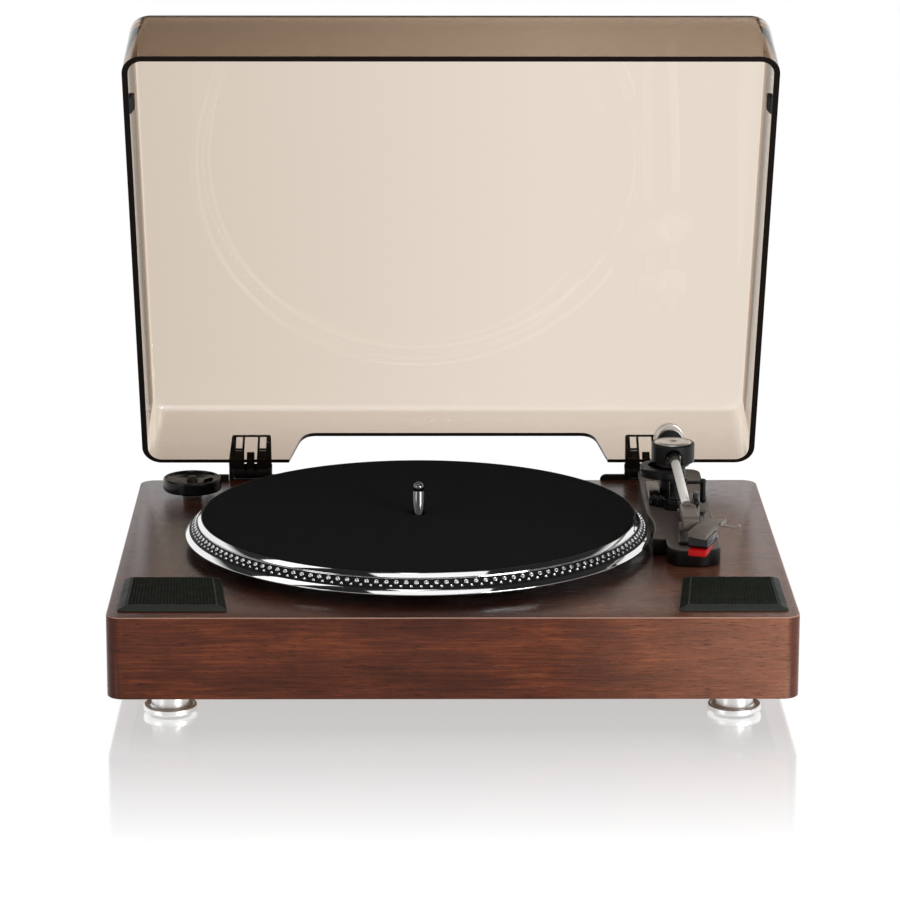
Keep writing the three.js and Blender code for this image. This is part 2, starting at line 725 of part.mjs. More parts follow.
// The rim falls at about 45 degrees: bright ring, dotted band, bright ring.
// Below, a hollow with a hub and a belt rim.
function platter() {
  const bore = SPINDLE_R + GAP;
  const lipIn = MAT_R + GAP;
  const lipOut = lipIn + RIM_LIP;
  const fall = matTop - PLATTER_LIFT - RIM_FOOT;
  const web = PLATTER_FACE - PLATTER_WEB;
  const at = (drop) => [lipOut + (PLATTER_R - lipOut) * (drop / fall), matTop - drop];
  const inset = ([r, z]) => [r - BAND_DEPTH, z - BAND_DEPTH];
  return turnedRing([
    [bore, SHOULDER + GAP], [PLATTER_BOSS_R, SHOULDER + GAP], [PLATTER_BOSS_R, web],
    [BELT_RIM_R - BELT_RIM_WALL, web], [BELT_RIM_R - BELT_RIM_WALL, BELT_RIM_LIFT],
    [BELT_RIM_R, BELT_RIM_LIFT],
    [BELT_RIM_R, web], [SKIRT_IN, web], [PLATTER_R - SKIRT_FOOT, PLATTER_LIFT], [PLATTER_R, PLATTER_LIFT],
    at(fall), at(fall - RING_LOWER), inset(at(fall - RING_LOWER)), inset(at(RING_UPPER)), at(RING_UPPER),
    [lipOut, matTop], [lipIn, matTop], [lipIn, PLATTER_FACE], [bore, PLATTER_FACE],
  ], PLATTER_FACETS);
}

function feltMat() {
  const bore = SPINDLE_R + 2 * GAP;
  const bottom = PLATTER_FACE + GAP;
  return turnedRing([[bore, bottom], [MAT_R, bottom], [MAT_R, matTop], [bore, matTop]], PLATTER_FACETS);
}

// Belt runs midway up the belt rim
function beltHeight() {
  return (BELT_RIM_LIFT + PLATTER_FACE - PLATTER_WEB) / 2;
}

function motorPulley() {
  const half = BELT_WIDTH / 2 + GAP;
  const [bottom, top] = [beltHeight() - half, beltHeight() + half];
  const lip = PULLEY_R + PULLEY_LIP;
  const tail = -PLINTH_TOP - MOTOR_BOSS;
  return turned([
    [0, tail], [MOTOR_SHAFT_R, tail], [MOTOR_SHAFT_R, bottom - PULLEY_EDGE],
    [lip, bottom - PULLEY_EDGE], [lip, bottom], [PULLEY_R, bottom], [PULLEY_R, top], [lip, top],
    [lip, top + PULLEY_EDGE], [0, top + PULLEY_EDGE],
  ], SMALL_ROUND);
}

function motor() {
  const top = -PLINTH_TOP - GAP;
  const hole = MOTOR_SHAFT_R + GAP;
  return turned([
    [0, top - MOTOR_HEIGHT], [MOTOR_R - MOTOR_EDGE, top - MOTOR_HEIGHT],
    [MOTOR_R, top - MOTOR_HEIGHT + MOTOR_EDGE], [MOTOR_R, top], [MOTOR_BOSS_R, top],
    [MOTOR_BOSS_R, top + MOTOR_BOSS], [hole, top + MOTOR_BOSS], [hole, top - 2 * MOTOR_BOSS],
    [0, top - 2 * MOTOR_BOSS],
  ], ROUND);
}

// Flat belt round both wheels, built along X from the platter axis
function driveBelt() {
  const arc = (x, radius, from, to, steps) => Array.from({ length: steps + 1 }, (_, i) => {
    const a = from + ((to - from) * i) / steps;
    const r = radius / Math.cos((to - from) / steps / 2);
    return [x + r * Math.cos(a), r * Math.sin(a)];
  });
  const loop = (grow) => {
    const [big, small] = [BELT_RIM_R + GAP + grow, PULLEY_R + GAP + grow];
    const touch = Math.acos((big - small) / MOTOR_DISTANCE);
    const round = arc(0, big, touch, 2 * Math.PI - touch, WIDE_ROUND);
    return polygon([...round, ...arc(MOTOR_DISTANCE, small, -touch, touch, SMALL_ROUND / 2)]);
  };
  const belt = prism(loop(BELT_THICK), BELT_WIDTH);
  const inside = prism(loop(0), BELT_WIDTH + 2 * OVER).translate(0, 0, -OVER);
  return belt.subtract(inside).translate(0, 0, -BELT_WIDTH / 2);
}

function buildDrive(deck) {
  const axis = group(deck, PLATTER_X, PLATTER_Y);
  piece('bearing_sleeve', bearingSleeve(), brass(), axis);
  piece('main_spindle', mainSpindle(), chrome(), axis);
  piece('platter', platter(), aluminium(), axis);
  piece('felt_mat', feltMat(), felt(), axis);
  const { x, y } = motorPlace();
  piece('motor', motor(), steel(), deck).position.set(x, y, 0);
  piece('motor_pulley', motorPulley(), brass(), deck).position.set(x, y, 0);
  const belt = piece('drive_belt', driveBelt(), rubber(), axis);
  belt.position.z = beltHeight();
  belt.rotation.z = Math.atan2(y - PLATTER_Y, x - PLATTER_X);
}

// Circuit board on standoffs, and the rear panel with its jacks and volume knob
function mainBoard() {
  let b = box(BOARD_WIDTH, BOARD_DEPTH, BOARD_THICK, 0, 0, BOARD_THICK / 2);
  for (const sx of [-1, 1]) {
    for (const sy of [-1, 1]) {
      const leg = cylinder(STANDOFF_R, BOARD_LIFT + BOARD_THICK / 2, HEX);
      const x = sx * (BOARD_WIDTH / 2 - 2 * STANDOFF_R);
      const y = sy * (BOARD_DEPTH / 2 - 2 * STANDOFF_R);
      b = b.add(leg.translate(x, y, -BOARD_LIFT));
    }
  }
  const chipShares = [[-0.25, 0.1], [0.12, -0.22]];
  for (const [sx, sy] of chipShares) {
    const tall = CHIP_THICK + BOARD_THICK;
    b = b.add(box(CHIP, CHIP, tall, sx * BOARD_WIDTH, sy * BOARD_DEPTH, tall / 2));
  }
  const capsShare = 0.3;
  for (let i = -1; i <= 1; i++) {
    const can = cylinder(CAN_R, CAN_HEIGHT, SMALL_ROUND);
    b = b.add(can.translate(BOARD_WIDTH * capsShare, i * CAN_PITCH, BOARD_THICK / 2));
  }
  return b;
}

function rearPanel() {
  const shape = roundedRect(REAR_PANEL_WIDTH, REAR_PANEL_HEIGHT, REAR_PANEL_BORDER / 2);
  let panel = upright(shape, REAR_PANEL_THICK, 1);
  for (const [x, radius] of rearPlaces()) {
    const hole = alongY(cylinder(radius + GAP, REAR_PANEL_THICK + 2 * OVER, SMALL_ROUND));
    panel = panel.subtract(hole.translate(x, -REAR_PANEL_THICK / 2 - OVER, 0));
  }
  return panel;
}

// Panel places from left to right seen from behind: knob, two phono jacks, supply socket
function rearPlaces() {
  const radii = [KNOB_SHAFT_R, JACK_R, JACK_R, DC_R];
  return radii.map((radius, i) => [((radii.length - 1) / 2 - i) * REAR_PITCH, radius]);
}

function phonoJack() {
  const outward = REAR_PANEL_THICK + GAP;
  const jack = turned([
    [0, -JACK_TAIL], [JACK_R, -JACK_TAIL], [JACK_R, outward], [JACK_RING_R, outward],
    [JACK_RING_R, outward + JACK_RING], [JACK_R, outward + JACK_RING], [JACK_R, JACK_LENGTH],
    [JACK_BORE_R, JACK_LENGTH], [JACK_BORE_R, outward], [0, outward],
  ], SMALL_ROUND);
  return alongY(jack);
}

function dcSocket() {
  const outward = REAR_PANEL_THICK + DC_PROUD;
  return alongY(turned([
    [0, -JACK_TAIL], [DC_R, -JACK_TAIL], [DC_R, outward], [DC_BORE_R, outward],
    [DC_BORE_R, -JACK_TAIL / 2], [DC_PIN_R, -JACK_TAIL / 2], [DC_PIN_R, 0], [0, 0],
  ], SMALL_ROUND));
}

function volumeKnob() {
  const start = REAR_PANEL_THICK + GAP;
  let knob = turned([
    [0, -KNOB_TAIL], [KNOB_SHAFT_R, -KNOB_TAIL], [KNOB_SHAFT_R, start], [KNOB_R, start],
    [KNOB_R - KNOB_TAPER, start + KNOB_LENGTH - KNOB_EDGE],
    [KNOB_R - KNOB_TAPER - KNOB_EDGE, start + KNOB_LENGTH],
    [0, start + KNOB_LENGTH],
  ]);
  for (let i = 0; i < GROOVE_COUNT; i++) {
    const groove = cylinder(KNOB_GROOVE_R, KNOB_LENGTH + OVER, HEX);
    const a = (i / GROOVE_COUNT) * 2 * Math.PI;
    knob = knob.subtract(groove.translate(KNOB_R * Math.cos(a), KNOB_R * Math.sin(a), start + KNOB_EDGE));
  }
  return alongY(knob);
}

function buildElectronics(root, deck) {
  const boardZ = FOOT_HEIGHT + FLOOR_THICK + GAP + BOARD_LIFT;
  piece('main_board', mainBoard(), circuit(), root).position.set(BOARD_X, BOARD_Y, boardZ);
  const panel = group(deck, REAR_PANEL_X, plinthBack + GAP, -PLINTH_HEIGHT / 2);
  piece('jack_panel', rearPanel(), blackPlastic(), panel).position.y = REAR_PANEL_THICK / 2;
  const [[knobX], [firstX], [secondX], [dcX]] = rearPlaces();
  piece('volume_knob', volumeKnob(), blackPlastic(), panel).position.x = knobX;
  piece('phono_jack_right', phonoJack(), red(), panel).position.x = firstX;
  piece('phono_jack_left', phonoJack(), silverGrey(), panel).position.x = secondX;
  piece('dc_socket', dcSocket(), blackPlastic(), panel).position.x = dcX;
}

// 45 rpm adapter: dished disc with a crescent window, stored on a peg
function adapterPeg() {
  const top = PEG_SHOULDER + ADAPTER_THICK + PEG_PROUD;
  return turned([
    [0, GAP], [PEG_SHOULDER_R, GAP], [PEG_SHOULDER_R, PEG_SHOULDER], [SPINDLE_R, PEG_SHOULDER],
    [SPINDLE_R, top - PEG_PROUD], [SPINDLE_R - PEG_PROUD, top], [0, top],
  ], SMALL_ROUND);
}

function adapter() {
  const bore = SPINDLE_R + GAP;
  const floor = ADAPTER_THICK - ADAPTER_DISH;
  const disc = turnedRing([
    [bore, 0], [ADAPTER_R - ADAPTER_LIP / 2, 0], [ADAPTER_R, ADAPTER_LIP / 2],
    [ADAPTER_R, ADAPTER_THICK - ADAPTER_LIP / 2], [ADAPTER_R - ADAPTER_LIP / 2, ADAPTER_THICK],
    [ADAPTER_R - ADAPTER_LIP, ADAPTER_THICK], [ADAPTER_WEB_R, floor + ADAPTER_LIP],
    [ADAPTER_HUB_R, floor], [bore, floor],
  ], WIDE_ROUND);
  const crescent = new THREE.Shape();
  const [from, to] = [rad(WINDOW_FROM_DEG), rad(WINDOW_TO_DEG)];
  crescent.absarc(0, 0, ADAPTER_WEB_R - ADAPTER_LIP, from, to);
  crescent.absarc(0, 0, ADAPTER_HUB_R + ADAPTER_LIP, to, from, true);
  return disc.subtract(prism(crescent, ADAPTER_THICK + 2 * OVER, CURVE_STEPS).translate(0, 0, -OVER));
}

function buildAdapter(deck) {
  const spot = group(deck, ADAPTER_X, ADAPTER_Y);
  piece('adapter_peg', adapterPeg(), blackPlastic(), spot);
  piece('adapter_45', adapter(), blackPlastic(), spot).position.z = PEG_SHOULDER + GAP;
}

// Hinges: a bracket with two lugs on the plinth, and a framed plate on the cover, on one pin.
// The lugs stand behind the plate's two edges.
function hingeBracket() {
  const lugX = (HINGE_WIDTH_RIM - LUG_THICK) / 2;
  const height = BRACKET_DROP + BRACKET_RISE;
  const middle = (BRACKET_RISE - BRACKET_DROP) / 2;
  const thick = BRACKET_THICK;
  const y = GAP + thick / 2;
  const plate = upright(roundedRect(BRACKET_WIDTH, height, BRACKET_CORNER), thick, 2).translate(0, y, middle);
  const notch = box(
    HINGE_WIDTH_RIM + 2 * GAP, thick + 2 * OVER, BRACKET_NOTCH + BRACKET_RISE + OVER,
    0, y, (BRACKET_RISE + OVER - BRACKET_NOTCH) / 2,
  );
  let bracket = plate.subtract(notch);
  for (const side of [-1, 1]) {
    const disc = alongX(cylinder(KNUCKLE_R, LUG_THICK));
    const web = polygon([
      [GAP, -BRACKET_DROP / 2], [GAP, -BRACKET_NOTCH], [GAP + thick, -BRACKET_NOTCH],
      [HINGE_BACK - KNUCKLE_R + GAP, HINGE_UP], [HINGE_BACK + KNUCKLE_R - GAP, HINGE_UP],
    ]);
    bracket = bracket
      .add(disc.translate(side * lugX - LUG_THICK / 2, HINGE_BACK, HINGE_UP))
      .add(sideways(web, LUG_THICK).translate(side * lugX, 0, 0));
  }
  const bore = alongX(cylinder(HINGE_PIN_R + GAP, BRACKET_WIDTH, SMALL_ROUND));
  return bracket.subtract(bore.translate(-BRACKET_WIDTH / 2, HINGE_BACK, HINGE_UP));
}

// Built about the pin, with the cover closed
function hingeArm() {
  const bottom = HINGE_FOOT - HINGE_UP;
  const top = COVER_SEAT + HINGE_REACH - HINGE_UP;
  const face = -HINGE_BACK - (PLINTH_DEPTH - COVER_DEPTH) / 2 + GAP;
  const [w0, w1] = [HINGE_WIDTH_RIM / 2, HINGE_WIDTH_TOP / 2];
  const outline = polygon([[-w0, bottom], [w0, bottom], [w0, bottom + HINGE_RAIL], [w1, top], [-w1, top],
    [-w0, bottom + HINGE_RAIL]]);
  const y = face + HINGE_PLATE / 2;
  const cut = (width, low, high, x) => box(width, HINGE_PLATE + 2 * OVER, high - low, x, y, (high + low) / 2);
  const solidTop = COVER_SEAT + HINGE_SOLID - HINGE_UP;
  const back = box(
    HINGE_WIDTH_RIM + 2 * OVER, HINGE_PLATE, top - solidTop + OVER,
    0, y + HINGE_SHEET, (top + solidTop + OVER) / 2,
  );
  const railTop = top - HINGE_RAIL;
  const barLow = COVER_SEAT + HINGE_BAR_UP - HINGE_UP;
  const inner = HINGE_RIB_X - HINGE_RIB / 2;
  const outer = HINGE_RIB_X + HINGE_RIB / 2;
  const sideWidth = w1 - HINGE_POST - outer;
  let arm = upright(outline, HINGE_PLATE).translate(0, y, 0).subtract(back)
    .subtract(cut(2 * inner, solidTop, railTop, 0));
  for (const side of [-1, 1]) {
    const x = side * (outer + sideWidth / 2);
    const slotX = side * (inner - HINGE_SLOT_WIDTH / 2);
    arm = arm
      .subtract(cut(sideWidth, solidTop, barLow, x))
      .subtract(cut(sideWidth, barLow + HINGE_BAR, railTop, x))
      .subtract(cut(HINGE_SLOT_WIDTH, COVER_SEAT - HINGE_UP, solidTop + GAP, slotX));
  }
  const barrel = HINGE_WIDTH_RIM - 2 * (LUG_THICK + GAP);
  const knuckle = alongX(cylinder(KNUCKLE_R, barrel)).translate(-barrel / 2, 0, 0);
  const web = polygon([
    [face + HINGE_PLATE / 2, bottom], [face + HINGE_PLATE / 2, KNUCKLE_R], [0, KNUCKLE_R - GAP],
    [-KNUCKLE_R / 2, bottom],
  ]);
  const bore = alongX(cylinder(HINGE_PIN_R + GAP, HINGE_WIDTH_RIM + 2 * OVER, SMALL_ROUND))
    .translate(-HINGE_WIDTH_RIM / 2 - OVER, 0, 0);
  return arm.add(knuckle).add(sideways(web, barrel)).subtract(bore);
}

function hingePin() {
  return alongX(cylinder(HINGE_PIN_R, HINGE_WIDTH_RIM, SMALL_ROUND)).translate(-HINGE_WIDTH_RIM / 2, 0, 0);
}

// Cover: an open box with drafted walls and a rounded top, cut away behind. Built closed, rim at 0.
function dustCover() {
  const rings = (grow, from, radius) => {
    const at = (z) => (COVER_DRAFT * z) / COVER_HEIGHT;
    const ring = (z, inset) => rectRing(
      COVER_WIDTH - 2 * (at(z) + inset + grow), COVER_DEPTH - 2 * (at(z) + inset + grow),
      COVER_CORNER - grow + inset / 2, z - grow,
    );
    const list = [ring(from, 0)];
    for (let i = 0; i <= CORNER_STEPS; i++) {
      const a = (i / CORNER_STEPS) * (Math.PI / 2);
      list.push(ring(COVER_HEIGHT - radius + radius * Math.sin(a), radius - radius * Math.cos(a)));
    }
    return list;
  };
  const outer = loft(rings(0, 0, COVER_FILLET));
  const inner = loft(rings(COVER_WALL, COVER_WALL - OVER, COVER_FILLET - COVER_WALL));
  const [rim, top] = [NOTCH_WIDTH_RIM / 2, NOTCH_WIDTH_TOP / 2];
  const slope = (rim - top) / NOTCH_HEIGHT;
  const corner = NOTCH_HEIGHT - NOTCH_CORNER;
  const notch = polygon([
    [-rim - slope * OVER, -OVER], [rim + slope * OVER, -OVER], [top + NOTCH_CORNER * slope, corner],
    [top - NOTCH_CORNER, NOTCH_HEIGHT], [-top + NOTCH_CORNER, NOTCH_HEIGHT],
    [-top - NOTCH_CORNER * slope, corner],
  ]);
  const cutter = upright(notch, 4 * COVER_WALL).translate(0, COVER_DEPTH / 2, 0);
  return outer.subtract(inner).subtract(cutter);
}

// Built for the right side: its thin foot lies against the wall
function coverBumper() {
  const lean = COVER_WALL / 2;
  const side = sideways(polygon([
    [0, 0], [BUMPER_LENGTH, 0], [BUMPER_LENGTH - lean, BUMPER_HEIGHT], [lean, BUMPER_HEIGHT],
  ]), BUMPER_THICK);
  const half = BUMPER_THICK / 2;
  const section = upright(polygon([
    [half, 0], [half, BUMPER_HEIGHT], [-half, BUMPER_HEIGHT], [-half, BUMPER_TAPER], [half - BUMPER_FOOT, 0],
  ]), BUMPER_LENGTH).translate(0, BUMPER_LENGTH / 2, 0);
  return side.intersect(section);
}

function buildCover(deck) {
  for (const [name, side] of [['left', -1], ['right', 1]]) {
    const x = side * HINGE_X;
    piece(`hinge_bracket_${name}`, hingeBracket(), blackPlastic(), deck).position.set(x, plinthBack, 0);
    piece(`hinge_pin_${name}`, hingePin(), steel(), deck).position.set(x, pivotY, HINGE_UP);
  }
  const cover = group(deck, 0, pivotY, HINGE_UP);
  cover.rotation.x = -rad(COVER_OPEN_DEG);
  const rimZ = COVER_SEAT - HINGE_UP;
  piece('dust_cover', dustCover(), smoked(), cover).position.set(0, -pivotY, rimZ);
  for (const [name, side] of [['left', -1], ['right', 1]]) {
    piece(`hinge_arm_${name}`, hingeArm(), blackPlastic(), cover).position.x = side * HINGE_X;
    const lean = COVER_DRAFT * (BUMPER_HEIGHT / COVER_HEIGHT);
    const inside = COVER_WIDTH / 2 - COVER_WALL - GAP - BUMPER_THICK / 2 - lean;
    const nearEnd = -COVER_DEPTH / 2 + BUMPER_FROM_FRONT;
    const bumper = side > 0 ? coverBumper() : coverBumper().mirror([1, 0, 0]);
    piece(`cover_bumper_${name}`, bumper, rubber(), cover)
      .position.set(side * inside, nearEnd - pivotY, rimZ - GAP);
  }
}

// Tonearm base: a moulded platform that hugs the platter, with a long block and the lift's boss
function baseOutline() {
  const s = new THREE.Shape();
  const [c, n] = [BASE_CORNER, BASE_NOSE];
  s.moveTo(BASE_LEFT, BASE_STEP_Y);
  s.lineTo(BASE_STEP_X, BASE_STEP_Y);
  s.lineTo(BASE_STEP_X, BASE_FRONT + n);
  s.quadraticCurveTo(BASE_STEP_X, BASE_FRONT, BASE_STEP_X + n, BASE_FRONT);
  s.quadraticCurveTo(BASE_RIGHT, BASE_FRONT, BASE_RIGHT, BASE_FRONT + n);
  s.lineTo(BASE_RIGHT, BASE_BACK - c);
  s.absarc(BASE_RIGHT - c, BASE_BACK - c, c, 0, Math.PI / 2);
  s.absarc(BASE_LEFT + c, BASE_BACK - c, c, Math.PI / 2, Math.PI);
  return s;
}

function tonearmBase() {
  const body = prism(baseOutline(), BASE_HEIGHT - GAP, CURVE_STEPS);
  const roof = BASE_HEIGHT - GAP - BASE_ROOF;
  const hollow = box(
    BASE_RIGHT - BASE_STEP_X - 2 * BASE_WALL, BASE_BACK - BASE_FRONT - 2 * BASE_NOSE, roof + OVER,
    (BASE_STEP_X + BASE_RIGHT) / 2, (BASE_BACK + BASE_FRONT) / 2, (roof - OVER) / 2,
  );
  const platterRoom = cylinder(PLATTER_R + BASE_CLEAR, BASE_HEIGHT + 2 * OVER, PLATTER_FACETS)
    .translate(PLATTER_X, PLATTER_Y, -OVER);
  const bore = cylinder(SHAFT_R + GAP, BASE_HEIGHT + 2 * OVER, SMALL_ROUND).translate(ARM_X, ARM_Y, -OVER);
  return body.subtract(hollow).subtract(platterRoom).subtract(bore);
}

// Block, cylinder and column that hold the lift's piston and the lever's shaft, one moulding on the base
function liftHousing() {
  const bottom = BASE_HEIGHT + GAP;
  const y = ARM_Y - LIFT_REACH;
  const block = box(BLOCK_WIDTH, BLOCK_LENGTH, BLOCK_RISE,
    BLOCK_X + BLOCK_WIDTH / 2, BLOCK_FRONT + BLOCK_LENGTH / 2, bottom + BLOCK_RISE / 2);
  const reach = ARM_X - BLOCK_X - BLOCK_WIDTH / 2;
  const link = box(reach, LIFT_LINK, BLOCK_RISE, ARM_X - reach / 2, BLOCK_FRONT, bottom + BLOCK_RISE / 2);
  const drum = cylinder(LIFT_R, LIFT_RISE).translate(ARM_X, y, bottom);
  const column = cylinder(LIFT_COLUMN_R, LIFT_COLUMN).translate(ARM_X, y, bottom);
  const boss = alongX(cylinder(CUE_BOSS_R, CUE_BOSS_END - ARM_X, SMALL_ROUND)).translate(ARM_X, CUE_Y, CUE_Z);
  const well = cylinder(PISTON_R + GAP, LIFT_COLUMN + OVER, SMALL_ROUND)
    .translate(ARM_X, y, bottom + BASE_WALL / 2);
  const bore = alongX(cylinder(CUE_SHAFT_R + GAP, CUE_SEAT + GAP + OVER, SMALL_ROUND))
    .translate(CUE_BOSS_END - CUE_SEAT - GAP, CUE_Y, CUE_Z);
  return block.add(link).add(drum).add(column).add(boss).subtract(well).subtract(bore);
}

function switchPanel() {
  const plate = prism(roundedRect(PANEL_WIDTH, PANEL_LENGTH, PANEL_THICK), PANEL_THICK, 2);
  const slot = box(PANEL_SLOT_WIDTH, PANEL_SLOT_LENGTH, PANEL_THICK + 2 * OVER, 0, 0, PANEL_THICK / 2);
  return plate.subtract(slot);
}

function speedSlide() {
  const foot = box(SLIDE_WIDTH, SLIDE_LENGTH, SLIDE_FOOT, 0, 0, SLIDE_FOOT / 2);
  const [half, dip, low] = [SLIDE_LENGTH / 2, SLIDE_LENGTH / 6, SLIDE_RISE - SLIDE_DIP];
  const grip = polygon([
    [-half, 0], [half, 0], [half, SLIDE_RISE], [dip, low], [-dip, low], [-half, SLIDE_RISE],
  ]);
  return foot.add(sideways(grip, SLIDE_WIDTH));
}

function pivotTower() {
  const bottom = BASE_HEIGHT + GAP;
  const column = cylinder(TOWER_R, TOWER_TOP - bottom).translate(0, 0, bottom);
  const low = TOWER_TOP - TOWER_FLANGE;
  const pad = cylinder(TOWER_FLANGE_R, TOWER_FLANGE).translate(-TOWER_SHIFT, 0, low);
  const bore = cylinder(SHAFT_R + GAP, TOWER_TOP + OVER, SMALL_ROUND);
  return column.add(pad).subtract(bore);
}

function pivotShaft() {
  const disc = TOWER_TOP + GAP;
  return turned([
    [0, -SHAFT_TAIL], [SHAFT_R, -SHAFT_TAIL], [SHAFT_R, disc], [SHAFT_DISC_R, disc],
    [SHAFT_DISC_R, disc + SHAFT_DISC], [0, disc + SHAFT_DISC],
  ]);
}

function archPath(width, low, top) {
  const s = new THREE.Shape();
  const r = width / 2;
  s.moveTo(-r, low);
  s.lineTo(r, low);
  s.lineTo(r, top - r);
  s.absarc(0, top - r, r, 0, Math.PI);
  return s;
}

function pivotHousing() {
  const edge = HOUSING_R - CAP_DISC_R - GAP;
  const seat = HOUSING_TOP - CAP_DISC + CAP_RIM - GAP;
  const drum = turned([
    [0, HOUSING_BOTTOM], [HOUSING_R, HOUSING_BOTTOM], [HOUSING_R, HOUSING_TOP - edge / 2],
    [HOUSING_R - edge / 2, HOUSING_TOP], [CAP_DISC_R + GAP, HOUSING_TOP], [CAP_DISC_R + GAP, seat], [0, seat],
  ], WIDE_ROUND);
  const arch = archPath(HOUSING_CHANNEL, HOUSING_BOTTOM - OVER, HOUSING_ARCH);
  const channel = upright(arch, 2 * HOUSING_R + 2 * OVER, CURVE_STEPS);
  const bore = alongX(cylinder(AXLE_R + GAP, AXLE_LENGTH + 2 * GAP, SMALL_ROUND))
    .translate(-AXLE_LENGTH / 2 - GAP, 0, TUBE_Z);
  return drum.subtract(channel).subtract(bore);
}

// The block that holds the tube on its level axle, turned about the tube, with a nose out of the housing
function bearingBlock() {
  const back = BOSS_START;
  const core = BLOCK_CORE / 2;
  const bore = TUBE_R + GAP;
  const block = alongY(turnedRing([
    [bore, -back], [BLOCK_NECK_R, -back], [BLOCK_NECK_R, -core], [BLOCK_CORE_R, -core], [BLOCK_CORE_R, core],
    [BLOCK_NECK_R, core], [BLOCK_NECK_R, BOSS_START], [BOSS_R, BOSS_START],
    [BOSS_R, (BOSS_START + BOSS_END) / 2], [BOSS_NOSE_R, BOSS_END], [bore, BOSS_END],
  ], SMALL_ROUND)).rotate(0, 0, 180);
  const cross = alongX(cylinder(AXLE_R + GAP, 2 * HOUSING_CHANNEL, SMALL_ROUND))
    .translate(-HOUSING_CHANNEL, 0, 0);
  return block.subtract(cross);
}

function armTube() {
  const tube = alongY(turnedRing([
    [TUBE_R - TUBE_WALL, -TUBE_FRONT], [TUBE_R, -TUBE_FRONT], [TUBE_R, TUBE_TAIL],
    [TUBE_R - TUBE_WALL, TUBE_TAIL],
  ], SMALL_ROUND));
  const cross = alongX(cylinder(AXLE_R + GAP, 4 * TUBE_R, SMALL_ROUND)).translate(-2 * TUBE_R, 0, 0);
  return tube.subtract(cross);
}

// Ring and tapered block that carry the headshell on the tube's end
function tubeCollar() {
  const ring = alongY(cylinder(RING_R, RING_LENGTH)).translate(0, -RING_BACK - RING_LENGTH, 0);
  const bore = alongY(cylinder(TUBE_R + GAP, TUBE_FRONT - RING_BACK + GAP + OVER, SMALL_ROUND))
    .translate(0, -TUBE_FRONT - GAP, 0);
  return ring.add(collarBlock(0)).subtract(bore);
}

// The tapered block, grown on all sides by a clearance
function collarBlock(grow) {
  const back = -RING_BACK - RING_LENGTH / 2 + grow;
  const front = -COLLAR_FRONT - grow;
  const [low, top] = [-COLLAR_BOTTOM - grow, COLLAR_TOP + grow];
  return sideways(polygon([
    [front, low], [back, low], [back, top], [front + COLLAR_NOSE, top], [front, top - COLLAR_NOSE_DROP],
  ]), COLLAR_WIDTH + 2 * grow);
}

// Headshell frame: X and Y turned by the offset angle at the stylus, heights from the tube axis
function headshell() {
  const front = SHELL_TOP - SHELL_FRONT_DROP;
  const rear = SHELL_TOP - SHELL_REAR_DROP;
  const profile = polygon([
    [-SHELL_FRONT, front - SHELL_THICK], [SHELL_CREASE, SHELL_TOP - SHELL_THICK],
    [SHELL_REAR, rear - SHELL_THICK], [SHELL_REAR, rear], [SHELL_CREASE, SHELL_TOP], [-SHELL_FRONT, front],
  ]);
  const half = SHELL_WIDTH / 2;
  const plan = polygon([
    [-half, -SHELL_FRONT + SHELL_FRONT_SKEW], [half, -SHELL_FRONT], [half, SHELL_REAR],
    [-half, SHELL_REAR - SHELL_REAR_SKEW],
  ]);
  const slab = prism(plan, SHELL_REAR).translate(0, 0, -SHELL_REAR / 2);
  const plate = sideways(profile, SHELL_WIDTH + OVER).intersect(slab);
  const low = -COLLAR_BOTTOM - GAP - TAB_THICK;
  const tab = box(TAB_WIDTH, TAB_LENGTH, TAB_THICK, 0, 0, low + TAB_THICK / 2);
  const web = box(TAB_THICK, TAB_LENGTH, SHELL_TOP - SHELL_THICK / 2 - low,
    (TAB_WIDTH + TAB_THICK) / 2 - GAP, 0, (SHELL_TOP - SHELL_THICK / 2 + low) / 2);
  const place = headPoint(0, -TAB_BACK - TAB_LENGTH / 2);
  const foot = tab.add(web).rotate(0, 0, OFFSET_DEG).translate(place.x, place.y, 0);
  const origin = headPoint(0, 0);
  const collarRoom = collarBlock(GAP).rotate(0, 0, OFFSET_DEG).translate(origin.x, origin.y, 0);
  return plate.add(foot).subtract(collarRoom);
}

// A point of the arm's own plane in the headshell frame
function headPoint(x, y) {
  return new THREE.Vector2(x - STYLUS_X, y + STYLUS_Y).rotateAround(new THREE.Vector2(), rad(OFFSET_DEG));
}

function fingerLift() {
  const x = SHELL_WIDTH / 2 + GAP + FINGER_R;
  const z = SHELL_TOP - SHELL_THICK / 2;
  const dipShares = [[0, 0], [0.35, -1], [0.8, -1], [1, 1]];
  const route = new THREE.CatmullRomCurve3(dipShares.map(([along, dip]) => new THREE.Vector3(
    x + FINGER_REACH * along, FINGER_BACK + FINGER_SWEEP * along, z + FINGER_DIP * dip,
  )));
  const section = new THREE.Shape();
  section.absarc(0, 0, FINGER_R, 0, 2 * Math.PI);
  const along = { steps: CURVE_STEPS, extrudePath: route, curveSegments: CORNER_STEPS };
  const rod = solid(new THREE.ExtrudeGeometry(section, along));
  const root = box(FINGER_R * 2, FINGER_R * 5, FINGER_R * 2, x, FINGER_BACK, z);
  return rod.add(root);
}

function cartridge() {
  const top = SHELL_TOP - SHELL_THICK - SHELL_FRONT_DROP - GAP;
  const low = top - CART_HEIGHT;
  return sideways(polygon([
    [-CART_FRONT, low + CART_CHAMFER], [-CART_FRONT + CART_CHAMFER, low], [CART_REAR - CART_CHAMFER, low],
    [CART_REAR, low + CART_CHAMFER], [CART_REAR, top], [-CART_FRONT, top],
  ]), CART_WIDTH);
}

